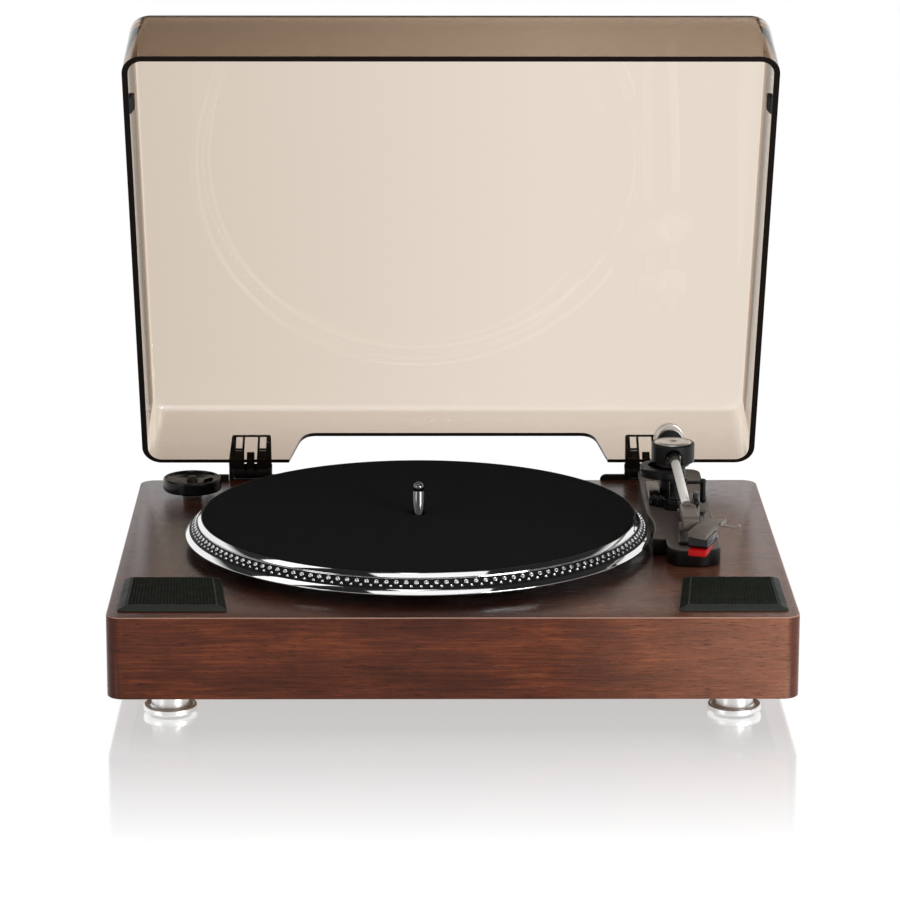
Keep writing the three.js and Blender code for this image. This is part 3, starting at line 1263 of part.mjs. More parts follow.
function stylusAssembly() {
  const top = SHELL_TOP - SHELL_THICK - SHELL_FRONT_DROP - 2 * GAP - CART_HEIGHT;
  const low = top - GRIP_HEIGHT;
  const grip = sideways(polygon([
    [-GRIP_FRONT, low], [GRIP_SLOPE, low], [GRIP_REAR, low + GRIP_SLOPE], [GRIP_REAR, top],
    [-GRIP_FRONT, top],
  ]), GRIP_WIDTH);
  const tip = turned([[0, STYLUS_Z], [TIP_R, low + TIP_R], [0, low + 2 * TIP_R]], 6);
  return grip.add(tip);
}

function weight() {
  const bore = TUBE_R + GAP;
  const end = WEIGHT_START + WEIGHT_LENGTH;
  return alongY(turnedRing([
    [bore, WEIGHT_START], [WEIGHT_R, WEIGHT_START], [WEIGHT_R, end], [GRIP_RING_R, end + GAP],
    [GRIP_RING_R, end + GRIP_RING - GAP], [GRIP_RING_R - GAP, end + GRIP_RING], [bore, end + GRIP_RING],
  ], WIDE_ROUND));
}

function weightDial() {
  const bore = TUBE_R + GAP;
  const end = WEIGHT_START - GAP;
  const face = end - DIAL_THICK;
  return alongY(turnedRing([
    [bore, face - DIAL_BOSS], [DIAL_BOSS_R, face - DIAL_BOSS], [DIAL_BOSS_R, face],
    [DIAL_R - GAP, face], [DIAL_R, face + GAP], [DIAL_R, end], [bore, end],
  ], WIDE_ROUND));
}

function buildTonearm(deck) {
  piece('tonearm_base', tonearmBase(), greyPlastic(), deck).position.z = GAP;
  piece('lift_housing', liftHousing(), blackPlastic(), deck);
  const panel = group(deck, PANEL_X, PANEL_Y, BASE_HEIGHT + GAP);
  panel.rotation.z = rad(PANEL_TURN_DEG);
  piece('switch_panel', switchPanel(), darkPanel(), panel);
  piece('speed_slide', speedSlide(), blackPlastic(), panel).position.z = GAP;
  const pivot = group(deck, ARM_X, ARM_Y);
  piece('pivot_tower', pivotTower(), blackPlastic(), pivot);
  piece('pivot_shaft', pivotShaft(), satinBlack(), pivot);
  piece('pivot_housing', pivotHousing(), blackPlastic(), pivot);
  const cap = cylinder(CAP_DISC_R, CAP_DISC, WIDE_ROUND);
  piece('pivot_cap', cap, silverGrey(), pivot).position.z = HOUSING_TOP - CAP_DISC + CAP_RIM;
  const arm = group(pivot, 0, 0, TUBE_Z);
  const axle = alongX(cylinder(AXLE_R, AXLE_LENGTH, SMALL_ROUND)).translate(-AXLE_LENGTH / 2, 0, 0);
  piece('pivot_axle', axle, steel(), arm);
  piece('arm_bearing_block', bearingBlock(), satinBlack(), arm);
  piece('tonearm_tube', armTube(), paleTube(), arm);
  piece('tube_collar', tubeCollar(), greyPlastic(), arm);
  piece('counterweight', weight(), silverGrey(), arm);
  piece('counterweight_dial', weightDial(), blackPlastic(), arm);
  const head = group(arm, STYLUS_X, -STYLUS_Y);
  head.rotation.z = -rad(OFFSET_DEG);
  piece('headshell', headshell(), greyPlastic(), head);
  piece('finger_lift', fingerLift(), greyPlastic(), head);
  piece('cartridge', cartridge(), blackPlastic(), head);
  piece('stylus_assembly', stylusAssembly(), red(), head);
}

// Lift: a piston with a curved bar under the tube
function liftPlatform() {
  const top = TUBE_Z - TUBE_R - LIFT_BAR_DROP;
  const low = top - LIFT_BAR_THICK;
  const [inner, outer] = [LIFT_REACH - LIFT_BAR_WIDTH / 2, LIFT_REACH + LIFT_BAR_WIDTH / 2];
  const [from, to] = [-Math.PI / 2 - rad(LIFT_BAR_LEFT_DEG), -Math.PI / 2 + rad(LIFT_BAR_RIGHT_DEG)];
  const arc = new THREE.Shape();
  arc.absarc(0, 0, outer, from, to);
  arc.absarc(0, 0, inner, to, from, true);
  const bar = prism(arc, LIFT_BAR_THICK, CURVE_STEPS).translate(0, 0, low);
  const foot = BASE_HEIGHT + GAP + BASE_WALL + LIFT_TRAVEL;
  const rod = cylinder(PISTON_R, top - LIFT_BAR_THICK / 2 - foot, SMALL_ROUND)
    .translate(0, -LIFT_REACH, foot);
  return bar.add(rod);
}

// Lever: a level shaft with a rounded handle hanging from its end. Built about the shaft's axis.
function cueLever() {
  const start = CUE_BOSS_END - CUE_SEAT;
  const shaft = alongX(cylinder(CUE_SHAFT_R, CUE_X - start, SMALL_ROUND)).translate(start - CUE_X, 0, 0);
  const r = CUE_HANDLE_R;
  const tipShare = 0.7;
  const tip = r * tipShare;
  const handle = turned([
    [0, -CUE_LENGTH], [tip, -CUE_LENGTH], [r, r - CUE_LENGTH], [r, r / 2], [tip, r], [0, r + CUE_CROWN],
  ], SMALL_ROUND);
  return shaft.add(handle);
}

// Rest: a tapered post beside the tube with a ledge under it and a pin for the clip
function armRest() {
  const bottom = BASE_HEIGHT + GAP;
  const lean = REST_LENGTH - REST_TOP_LENGTH;
  const post = sideways(polygon([
    [REST_FRONT, bottom], [REST_FRONT + REST_LENGTH, bottom], [REST_FRONT + REST_LENGTH - lean, REST_TOP],
    [REST_FRONT, REST_TOP],
  ]), REST_WIDTH).translate(REST_X + REST_WIDTH / 2, 0, 0);
  const ledgeTop = TUBE_Z - TUBE_R - REST_GAP;
  const ledge = upright(polygon([
    [0, ledgeTop - LEDGE_THICK], [LEDGE_ROOT, ledgeTop - 2 * LEDGE_THICK], [LEDGE_ROOT, ledgeTop],
    [-LEDGE_WIDTH, ledgeTop], [-LEDGE_WIDTH, ledgeTop - LEDGE_THICK / 2],
  ]), LEDGE_LENGTH).translate(REST_X, REST_FRONT + LEDGE_LENGTH / 2, 0);
  const pin = alongY(cylinder(CLIP_PIN_R, CLIP_WIDTH + LEDGE_ROOT, SMALL_ROUND))
    .translate(ARM_X + CLIP_X, REST_FRONT - CLIP_WIDTH - GAP, TUBE_Z + CLIP_Z);
  return post.add(ledge).add(pin);
}

// Clip: a hook that closes over the tube. Built closed about its own pin.
function restClip() {
  const inner = TUBE_R + CLIP_CLEAR;
  const outer = inner + CLIP_WALL;
  const [from, to] = [rad(CLIP_FROM_DEG), rad(CLIP_TO_DEG)];
  const hook = new THREE.Shape();
  hook.absarc(-CLIP_X, -CLIP_Z, outer, from, to);
  hook.absarc(-CLIP_X, -CLIP_Z, inner, to, from, true);
  const hookBody = upright(hook, CLIP_WIDTH, HEX);
  const barrel = alongY(cylinder(CLIP_BARREL_R, CLIP_WIDTH, SMALL_ROUND)).translate(0, -CLIP_WIDTH / 2, 0);
  const on = (radius, deg) => [radius * Math.cos(rad(deg)) - CLIP_X, radius * Math.sin(rad(deg)) - CLIP_Z];
  const link = upright(polygon([
    on(inner + GAP, CLIP_FROM_DEG), [0, -CLIP_BARREL_R + GAP], [0, CLIP_BARREL_R - GAP],
    on(outer - GAP, CLIP_LINK_DEG),
  ]), CLIP_WIDTH);
  const bore = alongY(cylinder(CLIP_PIN_R + GAP, CLIP_WIDTH + 2 * OVER, SMALL_ROUND))
    .translate(0, -CLIP_WIDTH / 2 - OVER, 0);
  return hookBody.add(link).add(barrel).subtract(bore);
}

function buildArmControls(deck) {
  piece('lift_platform', liftPlatform(), blackPlastic(), deck).position.set(ARM_X, ARM_Y, 0);
  piece('cue_lever', cueLever(), blackPlastic(), deck).position.set(CUE_X, CUE_Y, CUE_Z);
  piece('arm_rest', armRest(), satinBlack(), deck);
  const clip = piece('rest_clip', restClip(), blackPlastic(), deck);
  clip.position.set(ARM_X + CLIP_X, REST_FRONT - GAP - CLIP_WIDTH / 2, TUBE_Z + CLIP_Z);
  clip.rotation.y = rad(CLIP_OPEN_DEG);
}

function recordPlayer() {
  const player = new THREE.Group();
  const root = group(player);
  const deck = group(root, 0, 0, plinthTop);
  buildPlinth(root, deck);
  buildSpeakers(deck);
  buildDrive(deck);
  buildElectronics(root, deck);
  buildAdapter(deck);
  buildCover(deck);
  buildTonearm(deck);
  buildArmControls(deck);
  player.updateMatrixWorld(true);
  const centre = new THREE.Box3().setFromObject(player, true).getCenter(new THREE.Vector3());
  root.position.set(-centre.x, -centre.y, 0);
  return player;
}

export default recordPlayer();
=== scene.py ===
import math
import random

import bmesh
import bpy
from mathutils import Matrix, Vector


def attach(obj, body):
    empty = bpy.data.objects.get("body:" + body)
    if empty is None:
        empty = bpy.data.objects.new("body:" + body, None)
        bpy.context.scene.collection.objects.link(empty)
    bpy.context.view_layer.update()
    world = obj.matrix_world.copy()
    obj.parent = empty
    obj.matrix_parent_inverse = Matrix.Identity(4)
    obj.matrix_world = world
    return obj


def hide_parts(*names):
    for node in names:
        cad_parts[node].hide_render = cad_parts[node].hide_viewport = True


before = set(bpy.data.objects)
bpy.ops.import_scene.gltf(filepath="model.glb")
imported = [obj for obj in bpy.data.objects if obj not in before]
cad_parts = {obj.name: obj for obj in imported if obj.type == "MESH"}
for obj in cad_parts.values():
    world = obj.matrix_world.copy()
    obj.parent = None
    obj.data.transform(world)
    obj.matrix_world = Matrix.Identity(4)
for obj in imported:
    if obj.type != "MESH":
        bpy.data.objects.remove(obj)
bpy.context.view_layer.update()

# Lengths are in millimetres from the centre of the plinth's top face, as in the photograph's camera fit.
# PLACE turns them into the frame's metres.
MM = 0.001
FLOOR_Z = -70.7
ORIGIN = Vector((0.0, -24.8412, -FLOOR_Z))
PLACE = Matrix.Scale(MM, 4) @ Matrix.Translation(ORIGIN)
GAP = 0.3

PLINTH_W, PLINTH_D, PLINTH_H, PLINTH_R = 420.0, 331.0, 51.7, 10.0
PLATTER = Vector((-20.7, 9.5, 0.0))
PLATTER_R, MAT_R = 150.0, 138.8
TUBE_Z, TUBE_R = 40.0, 2.9
ARM = Vector((147.5, 80.0, 0.0))
AXLE = ARM + Vector((0, 0, TUBE_Z))
HINGE_X, HINGE_Y, HINGE_Z, OPEN = 135.5, 174.5, 4.1, math.radians(65.5)
HINGE = Vector((0, HINGE_Y, HINGE_Z))
ABOUT_HINGE = Matrix.Translation(HINGE) @ Matrix.Rotation(-OPEN, 4, "X")
OPENED = ABOUT_HINGE @ Matrix.Translation(-HINGE)


# ---- materials


class Nodes:
    """The node tree of a new material or world, with short calls for the nodes it uses."""

    def __init__(self, name, world=False):
        self.block = (bpy.data.worlds if world else bpy.data.materials).new(name)
        self.block.use_nodes = True
        self.tree = self.block.node_tree
        self.shader = self.tree.nodes["Background" if world else "Principled BSDF"]
        self.output = self.tree.nodes["World Output" if world else "Material Output"]

    def set(self, node, name, value):
        socket = node.inputs[name]
        if isinstance(value, bpy.types.NodeSocket):
            self.tree.links.new(value, socket)
        else:
            socket.default_value = value

    def add(self, kind, props=None, **inputs):
        """A node with these settings; its sockets are given by name, or by number as i0, i1 and so on."""
        node = self.tree.nodes.new("ShaderNode" + kind)
        for key, value in (props or {}).items():
            setattr(node, key, value)
        for key, value in inputs.items():
            number = key[0] == "i" and key[1:].isdigit()
            self.set(node, int(key[1:]) if number else key.replace("_", " "), value)
        return node

    def vector(self, kind, a, b=(0, 0, 0)):
        node = self.add("VectorMath", {"operation": kind}, i0=a, i1=b)
        return node.outputs["Value" if kind in ("LENGTH", "DISTANCE", "DOT_PRODUCT") else "Vector"]

    def place(self, scale=(1, 1, 1)):
        """Position in the frame in millimetres, times scale."""
        return self.vector("MULTIPLY", self.add("TexCoord").outputs["Object"], [s / MM for s in scale])

    def split(self, value):
        return self.add("SeparateXYZ", Vector=value).outputs

    def join(self, x, y, z=0.0):
        return self.add("CombineXYZ", X=x, Y=y, Z=z).outputs[0]

    def normal(self):
        return self.split(self.add("NewGeometry").outputs["Normal"])

    def noise(self, at, scale, detail, rough):
        return self.add("TexNoise", Vector=at, Scale=scale, Detail=detail, Roughness=rough).outputs["Fac"]

    def math(self, kind, a, b=0.0):
        return self.add("Math", {"operation": kind}, i0=a, i1=b).outputs[0]

    def times(self, a, b):
        return self.math("MULTIPLY", a, b)

    def span(self, value, low, high, to_low=0.0, to_high=1.0):
        """value, with low to high mapped to to_low to to_high, and held there beyond them."""
        limits = {"From_Min": low, "From_Max": high, "To_Min": to_low, "To_Max": to_high}
        return self.add("MapRange", Value=value, **limits).outputs[0]

    def ramp(self, value, *stops):
        node = self.add("ValToRGB", Fac=value)
        points = node.color_ramp.elements
        while len(points) < len(stops):
            points.new(0.5)
        for point, (at, colour) in zip(points, stops):
            point.position = at
            point.color = (*colour, 1)
        return node.outputs["Color"]

    def mix(self, factor, a, b, kind="MIX"):
        node = self.add("Mix", {"data_type": "RGBA", "blend_type": kind})
        for index, value in ((0, factor), (6, a), (7, b)):
            self.set(node, index, (*value, 1) if isinstance(value, tuple) and len(value) == 3 else value)
        return node.outputs[2]

    def bump(self, height, depth):
        """Bump of depth millimetres."""
        node = self.add("Bump", Height=height, Strength=1.0, Distance=depth * MM)
        self.set(self.shader, "Normal", node.outputs[0])

    def finish(self, colour, rough, **plain):
        self.set(self.shader, "Base Color", (*colour, 1) if isinstance(colour, tuple) else colour)
        self.set(self.shader, "Roughness", rough)
        for key, value in plain.items():
            self.shader.inputs[key.replace("_", " ")].default_value = value
        return self.block


def srgb(r, g, b):
    """Linear colour of an 8-bit screen colour."""
    return tuple((v / 255 / 12.92) if v <= 10 else ((v / 255 + 0.055) / 1.055) ** 2.4 for v in (r, g, b))


def tones(colour, low, high):
    return [tuple(min(1, c * factor) for c in colour) for factor in (low, high)]


def moulded(name, colour, rough, grain=0.012, size=1.6, clouding_and_edge_highlight=0.10, side=None, **plain):
    """Moulded plastic: a fine eroded grain, slight clouding of its colour and scuffed gloss.

    side is the colour of upright faces, where it differs; the colour of level faces then stands for a painted sheen."""
    n = Nodes(name)
    at = n.place()
    shade = n.mix(n.noise(at, 0.05, 4.0, 0.6), *tones(colour, 1 - clouding_and_edge_highlight, 1 + clouding_and_edge_highlight))
    # painted sheen: level faces keep the colour, upright faces take side
    if side:
        shade = n.mix(n.span(n.normal()["Z"], 0.5, 0.85), side, shade)
    n.bump(n.noise(at, size, 2.0, 0.6), grain)
    gloss = n.span(n.noise(at, 0.12, 5.0, 0.65), 0.3, 0.7, rough * 0.85, min(1, rough * 1.2))
    return n.finish(shade, gloss, **plain)


def metal(name, colour, rough, axis="z", lines=9.0, depth=0.006):
    """Turned metal: fine lines across the named axis and slow changes of gloss."""
    n = Nodes(name)
    stretch = {"z": (0.12, 0.12, lines), "y": (lines, 0.05, lines)}[axis]
    line = n.noise(n.place(stretch), 1.0, 2.0, 0.6)
    n.bump(line, depth)
    gloss = n.add("Math", {"operation": "MULTIPLY_ADD"}, i0=line, i1=rough * 0.35, i2=rough * 0.72)
    shade = n.mix(n.noise(n.place(), 0.06, 4.0, 0.6), *tones(colour, 0.93, 1.04))
    return n.finish(shade, gloss.outputs[0], Metallic=1.0)


def ringed(name, colour, rough, centre, lines, depth):
    """Metal spun about the upright axis through centre."""
    n = Nodes(name)
    at = n.vector("SUBTRACT", n.place(), ORIGIN + centre)
    radius = n.vector("LENGTH", n.vector("MULTIPLY", at, (1, 1, 0)))
    ring = n.add("TexNoise", {"noise_dimensions": "1D"}, W=radius, Scale=lines, Detail=3.0).outputs["Fac"]
    n.bump(ring, depth)
    shade = n.mix(n.noise(at, 0.05, 4.0, 0.6), *tones(colour, 0.94, 1.04))
    return n.finish(shade, n.span(ring, 0.25, 0.75, rough * 0.8, rough * 1.2), Metallic=1.0)


def mahogany():
    """Dark red-brown veneer: straight fine grain along the plinth, short pores, slow cloudy figure, and painted light
    and shade.
    """
    n = Nodes("mahogany_veneer")
    at = n.place()
    x, y, z = n.split(at)
    over, ahead, up = n.normal()
    top = n.span(up, 0.5, 0.8)
    side, lid = n.join(n.math("ADD", x, y), z), n.join(x, y, 40.0)
    flat = n.add("Mix", {"data_type": "VECTOR"}, i0=top, i4=side, i5=lid).outputs[1]

    def grain(along, across, detail, rough, seed):
        """Noise with its own scale along and across the grain."""
        moved = n.add("VectorMath", {"operation": "MULTIPLY_ADD"}, i0=flat, i1=(along, across, 1), i2=(seed,) * 3)
        return n.noise(moved.outputs[0], 1.0, detail, rough)

    flat = n.vector("ADD", flat, n.join(0.0, n.times(grain(0.008, 0.02, 2.0, 0.5, 3.0), 9.0)))
    cloud = grain(0.016, 0.045, 4.0, 0.6, 11.0)
    streak = grain(0.018, 0.48, 4.0, 0.66, 23.0)
    fine = grain(0.06, 1.7, 3.0, 0.7, 37.0)
    pore = n.span(grain(0.12, 2.2, 2.0, 0.55, 51.0), 0.585, 0.66)
    colour = n.ramp(
        n.math("ADD", n.times(cloud, 0.5), n.times(streak, 0.5)),
        (0.34, srgb(60, 26, 16)),
        (0.43, srgb(80, 37, 22)),
        (0.52, srgb(100, 48, 28)),
        (0.60, srgb(126, 63, 35)),
        (0.70, srgb(154, 84, 48)),
    )
    # painted shade, darker in the middle, and painted light, paler to the right
    off = n.math("ABSOLUTE", n.math("ADD", x, 10.0))
    colour = n.mix(n.span(off, 130.0, 30.0, 0.0, 0.3), colour, srgb(46, 18, 10))
    painted_light_right = n.times(n.span(x, 60.0, 215.0, 0.0, 0.6), n.span(cloud, 0.3, 0.7, 0.7, 1.0))
    colour = n.mix(painted_light_right, colour, srgb(172, 122, 98))
    colour = n.mix(n.span(fine, 0.28, 0.68, 0.6, 0.0), colour, srgb(44, 18, 11))
    colour = n.mix(n.times(pore, 0.8), colour, srgb(28, 12, 9))
    # painted shade, darker on top, with a painted shadow round the platter and painted shade at the upright corners; a
    # painted highlight at the level edges
    colour = n.mix(n.times(top, 0.34), colour, srgb(32, 15, 10))
    # painted shadow on the top round the platter
    away = n.vector("DISTANCE", n.join(x, y), n.join(PLATTER.x + ORIGIN.x, PLATTER.y + ORIGIN.y))
    colour = n.mix(n.times(top, n.span(away, 182.0, 150.0, 0.0, 0.8)), colour, srgb(8, 4, 3))
    # painted shade at the upright corners
    turn = n.math("ABSOLUTE", n.times(over, ahead))
    colour = n.mix(n.span(turn, 0.12, 0.40, 0.0, 0.72), colour, srgb(58, 15, 6))
    # painted highlight along the level edges
    clouding_and_edge_highlight = n.times(n.span(up, 0.2, 0.45), n.span(up, 0.98, 0.86))
    colour = n.mix(n.times(clouding_and_edge_highlight, 0.55), colour, srgb(196, 160, 142))
    n.bump(n.math("SUBTRACT", n.times(fine, 0.5), pore), 0.045)
    gloss = n.span(fine, 0.3, 0.7, 0.18, 0.28)
    return n.finish(colour, gloss, IOR=1.31, Specular_Tint=(1.0, 0.9, 0.84, 1.0))


def felt():
    """Black felt: short matted fibres, dusty sheen and a faintly mottled tone."""
    n = Nodes("black_felt")
    at = n.place()
    fibre, clump = n.noise(at, 2.4, 5.0, 0.75), n.noise(at, 0.35, 4.0, 0.7)
    tone = n.mix(n.span(clump, 0.3, 0.7), srgb(10, 10, 11), srgb(18, 18, 19))
    fleck = n.span(n.noise(at, 5.0, 2.0, 0.5), 0.64, 0.74)
    tone = n.mix(n.times(fleck, 0.4), tone, srgb(46, 46, 48))
    n.bump(n.math("ADD", fibre, n.times(clump, 0.8)), 0.25)
    return n.finish(tone, 1.0, Sheen_Weight=0.01, Sheen_Roughness=0.6, Specular_IOR_Level=0.02)


def fibreboard():
    n = Nodes("pressed_board")
    at = n.place()
    chip, hair = n.noise(at, 0.9, 5.0, 0.75), n.noise(at, 4.0, 3.0, 0.7)
    colour = n.ramp(chip, (0.3, srgb(84, 62, 44)), (0.5, srgb(112, 86, 62)), (0.7, srgb(136, 108, 80)))
    n.bump(hair, 0.05)
    return n.finish(n.mix(n.span(hair, 0.3, 0.7, 0, 0.35), colour, srgb(70, 50, 36)), 0.85)


def rubber():
    n = Nodes("soft_rubber")
    at = n.place()
    dust = n.noise(at, 0.25, 5.0, 0.7)
    n.bump(n.noise(at, 3.0, 3.0, 0.6), 0.03)
    return n.finish(n.mix(n.span(dust, 0.4, 0.75), srgb(17, 17, 17), srgb(34, 33, 32)), 0.72)


def circuit():
    """Green lacquered board: copper tracks under the lacquer as lighter bands."""
    n = Nodes("circuit_lacquer")
    cell = n.add("TexVoronoi", {"distance": "CHEBYCHEV", "feature": "F1"}, Vector=n.place(), Scale=0.14)
    track = n.span(cell.outputs["Distance"], 0.40, 0.44)
    n.bump(track, 0.05)
    return n.finish(n.mix(track, srgb(18, 74, 42), srgb(34, 104, 60)), 0.32)


def smoked():
    """Smoked clear plastic: light fades to brown along its way through the walls; painted shade in its tint darkens the
    left of the panel and the end walls, and a painted highlight clears the bend.
    """
    n = Nodes("smoked_clear_plastic")
    at = n.place()
    smear = n.noise(at, 0.03, 4.0, 0.6)
    n.bump(n.noise(at, 0.02, 2.0, 0.5), 0.015)
    # along the open panel from the hinge, across it, and from the rim to the panel's face
    away = n.vector("SUBTRACT", at, ORIGIN + HINGE)
    along = n.vector("DOT_PRODUCT", away, (0, -math.cos(OPEN), math.sin(OPEN)))
    depth = n.vector("DOT_PRODUCT", away, (0, math.sin(OPEN), math.cos(OPEN)))
    across = n.split(away)["X"]
    clear = (1.0, 1.0, 1.0)
    # painted shade: the panel darker towards the left, clear again over the side wall
    shade = n.mix(n.span(across, -205.0, 60.0), (0.83, 0.81, 0.78), clear)
    shade = n.mix(n.span(across, -202.5, -204.5), shade, clear)
    # painted shade on the rear wall
    rear = (0.58, 0.53, 0.50)
    shade = n.mix(n.span(along, 15.0, 10.0), shade, rear, "MULTIPLY")
    # painted shade on the front wall, darker towards its ends and towards the rim
    middle = n.math("ABSOLUTE", n.math("SUBTRACT", across, 60.0))
    front = n.mix(n.span(middle, 0.0, 260.0), (0.64, 0.60, 0.56), (0.52, 0.47, 0.44))
    front = n.mix(n.span(depth, 26.0, 54.0, 0.0, 0.7), front, clear)
    shade = n.mix(n.span(along, 321.0, 326.0), shade, front, "MULTIPLY")
    # a painted highlight: the bend between panel and rear wall is clearer than both
    bend = n.times(n.span(along, 18.0, 17.2), n.span(along, 15.0, 15.8))
    shade = n.mix(bend, shade, clear)
    fade = n.add("VolumeAbsorption", Color=(0.656, 0.389, 0.087, 1), Density=150.0)
    n.set(n.output, "Volume", fade.outputs[0])
    return n.finish(shade, n.span(smear, 0.35, 0.7, 0.0, 0.02), Transmission_Weight=1.0, IOR=1.49)


MAHOGANY = mahogany()
BOARD = fibreboard()
RUBBER = rubber()
FELT = felt()
CIRCUIT = circuit()
SMOKED = smoked()
# painted shade: the cover's rim painted near black, standing in for the dark edge of the smoked walls
RIM_PAINTED_SHADE = moulded("smoked_plastic_edge", srgb(20, 14, 11), 0.45, 0.002, IOR=1.15)
FOOT = metal("foot_aluminium", (0.94, 0.93, 0.91), 0.42, "z", 6.0, 0.004)
PLATTER_METAL = ringed("platter_aluminium", (0.80, 0.80, 0.80), 0.06, PLATTER, 3.0, 0.002)
BAND = moulded("strobe_band_black", srgb(8, 8, 9), 0.5, 0.01, IOR=1.25)
DOT = moulded("strobe_dot_silver", (0.72, 0.72, 0.73), 0.24, 0.003, Metallic=1.0)
CHROME = metal("spindle_chrome", (0.16, 0.16, 0.165), 0.12, "z", 2.0, 0.002)
STEEL = metal("turned_steel", (0.56, 0.57, 0.58), 0.28)
BRASS = metal("turned_brass", (0.72, 0.58, 0.33), 0.25)
MESH = moulded("grille_green_black", srgb(38, 41, 37), 0.6, 0.01, IOR=1.35)
WIRE = moulded("grille_wire_black", srgb(30, 33, 27), 0.8, 0.01, IOR=1.15)
CONE = moulded("speaker_cone_black", srgb(22, 22, 23), 0.8, 0.08, 1.0)
BLACK = moulded("black_plastic", srgb(15, 13, 12), 0.40, IOR=1.34)
HINGE_BLACK = moulded("hinge_black_plastic", srgb(15, 11, 9), 0.6, IOR=1.2)
SATIN = moulded("satin_black_paint", srgb(30, 28, 26), 0.34)
GLOSS = moulded("black_gloss_plastic", srgb(11, 11, 11), 0.16, 0.002, IOR=1.33)
GREY = moulded("grey_brown_plastic", srgb(86, 77, 70), 0.40, 0.015)
RING = moulded("ring_dark_brown", srgb(34, 29, 26), 0.3)
# painted sheen: the base is black plastic, its level faces painted grey as a sheen, its upright faces near black
BASE = moulded("base_grey_plastic", srgb(74, 66, 62), 0.34, 0.02, side=srgb(9, 6, 5), IOR=1.3)
DARK = moulded("panel_dark_plastic", srgb(20, 21, 20), 0.25, 0.006, IOR=1.3)
CAP = ringed("cap_spun_metal", (0.62, 0.60, 0.58), 0.25, ARM, 4.0, 0.01)
TUBE = moulded("tube_silver_paint", (0.99, 0.97, 0.93), 0.34, 0.0004, clouding_and_edge_highlight=0.01)
WEIGHT = metal("weight_satin_steel", (0.66, 0.63, 0.60), 0.33, "y", 3.0, 0.006)
ROD = moulded("finger_rod_grey", srgb(126, 117, 108), 0.3, 0.006)
RED = moulded("stylus_red", srgb(156, 3, 5), 0.3, 0.003, IOR=1.25)
JACK_RED = moulded("jack_red", srgb(170, 22, 26), 0.3)
JACK_WHITE = moulded("jack_white", srgb(226, 223, 216), 0.3)


# ---- outlines


def quarter(index, steps):
    """Angles of a quarter turn."""
    return [math.pi / 2 * (index + k / steps) for k in range(steps + 1)]


def polar(radius, angle, centre):
    return centre[0] + radius * math.cos(angle), centre[1] + radius * math.sin(angle)


def box_line(x0, y0, x1, y1):
    return [(x0, y0), (x1, y0), (x1, y1), (x0, y1)]


def pin(radius, low, high):
    """Profile of a plain cylinder."""
    return box_line(0, low, radius, high)


def rounded(width, depth, radius, steps=8, cx=0.0, cy=0.0):
    """Outline of a rounded rectangle, anticlockwise."""
    points = []
    for index, (sx, sy) in enumerate(((1, 1), (-1, 1), (-1, -1), (1, -1))):
        corner = cx + sx * (width / 2 - radius), cy + sy * (depth / 2 - radius)
        points += [polar(radius, angle, corner) for angle in quarter(index, steps)]
    return points


def curve(a, b, c, steps):
    """Points from a to c on the parabola whose end tangents meet in b."""
    points = []
    for k in range(steps + 1):
        t = k / steps
        w = ((1 - t) ** 2, 2 * t * (1 - t), t * t)
        points.append(tuple(w[0] * a[j] + w[1] * b[j] + w[2] * c[j] for j in (0, 1)))
    return points


def filleted(points, radius, steps=3, closed=True):
    """A 2-D outline with its corners rounded to radius, or less where an edge is short."""
    out, count = [], len(points)
    for i, (x, y) in enumerate(points):
        if not closed and i in (0, count - 1):
            out.append((x, y))
            continue
        (ax, ay), (bx, by) = points[i - 1], points[(i + 1) % count]
        la, lb = math.hypot(ax - x, ay - y), math.hypot(bx - x, by - y)
        ua, ub = ((ax - x) / la, (ay - y) / la), ((bx - x) / lb, (by - y) / lb)
        angle = math.acos(max(-1, min(1, ua[0] * ub[0] + ua[1] * ub[1])))
        if angle > math.radians(174):
            out.append((x, y))
            continue
        reach = min(radius / math.tan(angle / 2), la * 0.45, lb * 0.45)
        start, end = [(x + u[0] * reach, y + u[1] * reach) for u in (ua, ub)]
        out += curve(start, (x, y), end, steps)
    return out


def shrunk(outline, inset):
    """The outline moved inward by inset along each corner's bisector."""
    if inset < 1e-6:
        return list(outline)
    out, count = [], len(outline)
    for i, (x, y) in enumerate(outline):
        (ax, ay), (bx, by) = outline[i - 1], outline[(i + 1) % count]
        n1, n2 = (ay - y, x - ax), (y - by, bx - x)
        l1, l2 = math.hypot(*n1), math.hypot(*n2)
        n1, n2 = (n1[0] / l1, n1[1] / l1), (n2[0] / l2, n2[1] / l2)
        k = inset / (1 + max(-0.6, n1[0] * n2[0] + n1[1] * n2[1]))
        out.append((x + (n1[0] + n2[0]) * k, y + (n1[1] + n2[1]) * k))
    return out


def smooth_path(points, steps):
    """Catmull-Rom curve through points."""
    pts = [Vector(p) for p in points]
    pts = [2 * pts[0] - pts[1], *pts, 2 * pts[-1] - pts[-2]]
    out = []
    for a, b, c, d in zip(pts, pts[1:], pts[2:], pts[3:]):
        for k in range(steps):
            t = k / steps
            low = 2 * b + (c - a) * t + (2 * a - 5 * b + 4 * c - d) * t * t
            out.append(0.5 * (low + (3 * b - a - 3 * c + d) * t**3))
    return [*out, pts[-2]]


# ---- meshes


def blank():
    return bmesh.new()


def to_data(bm, name="scratch"):
    data = bpy.data.meshes.new(name)
    bm.to_mesh(data)
    bm.free()
    return data


def linked(name, data):
    made = bpy.data.objects.new(name, data)
    bpy.context.scene.collection.objects.link(made)
    return made


def merged(bm, other):
    """bm with other's faces added to it."""
    data = to_data(other)
    bm.from_mesh(data)
    bpy.data.meshes.remove(data)
    return bm


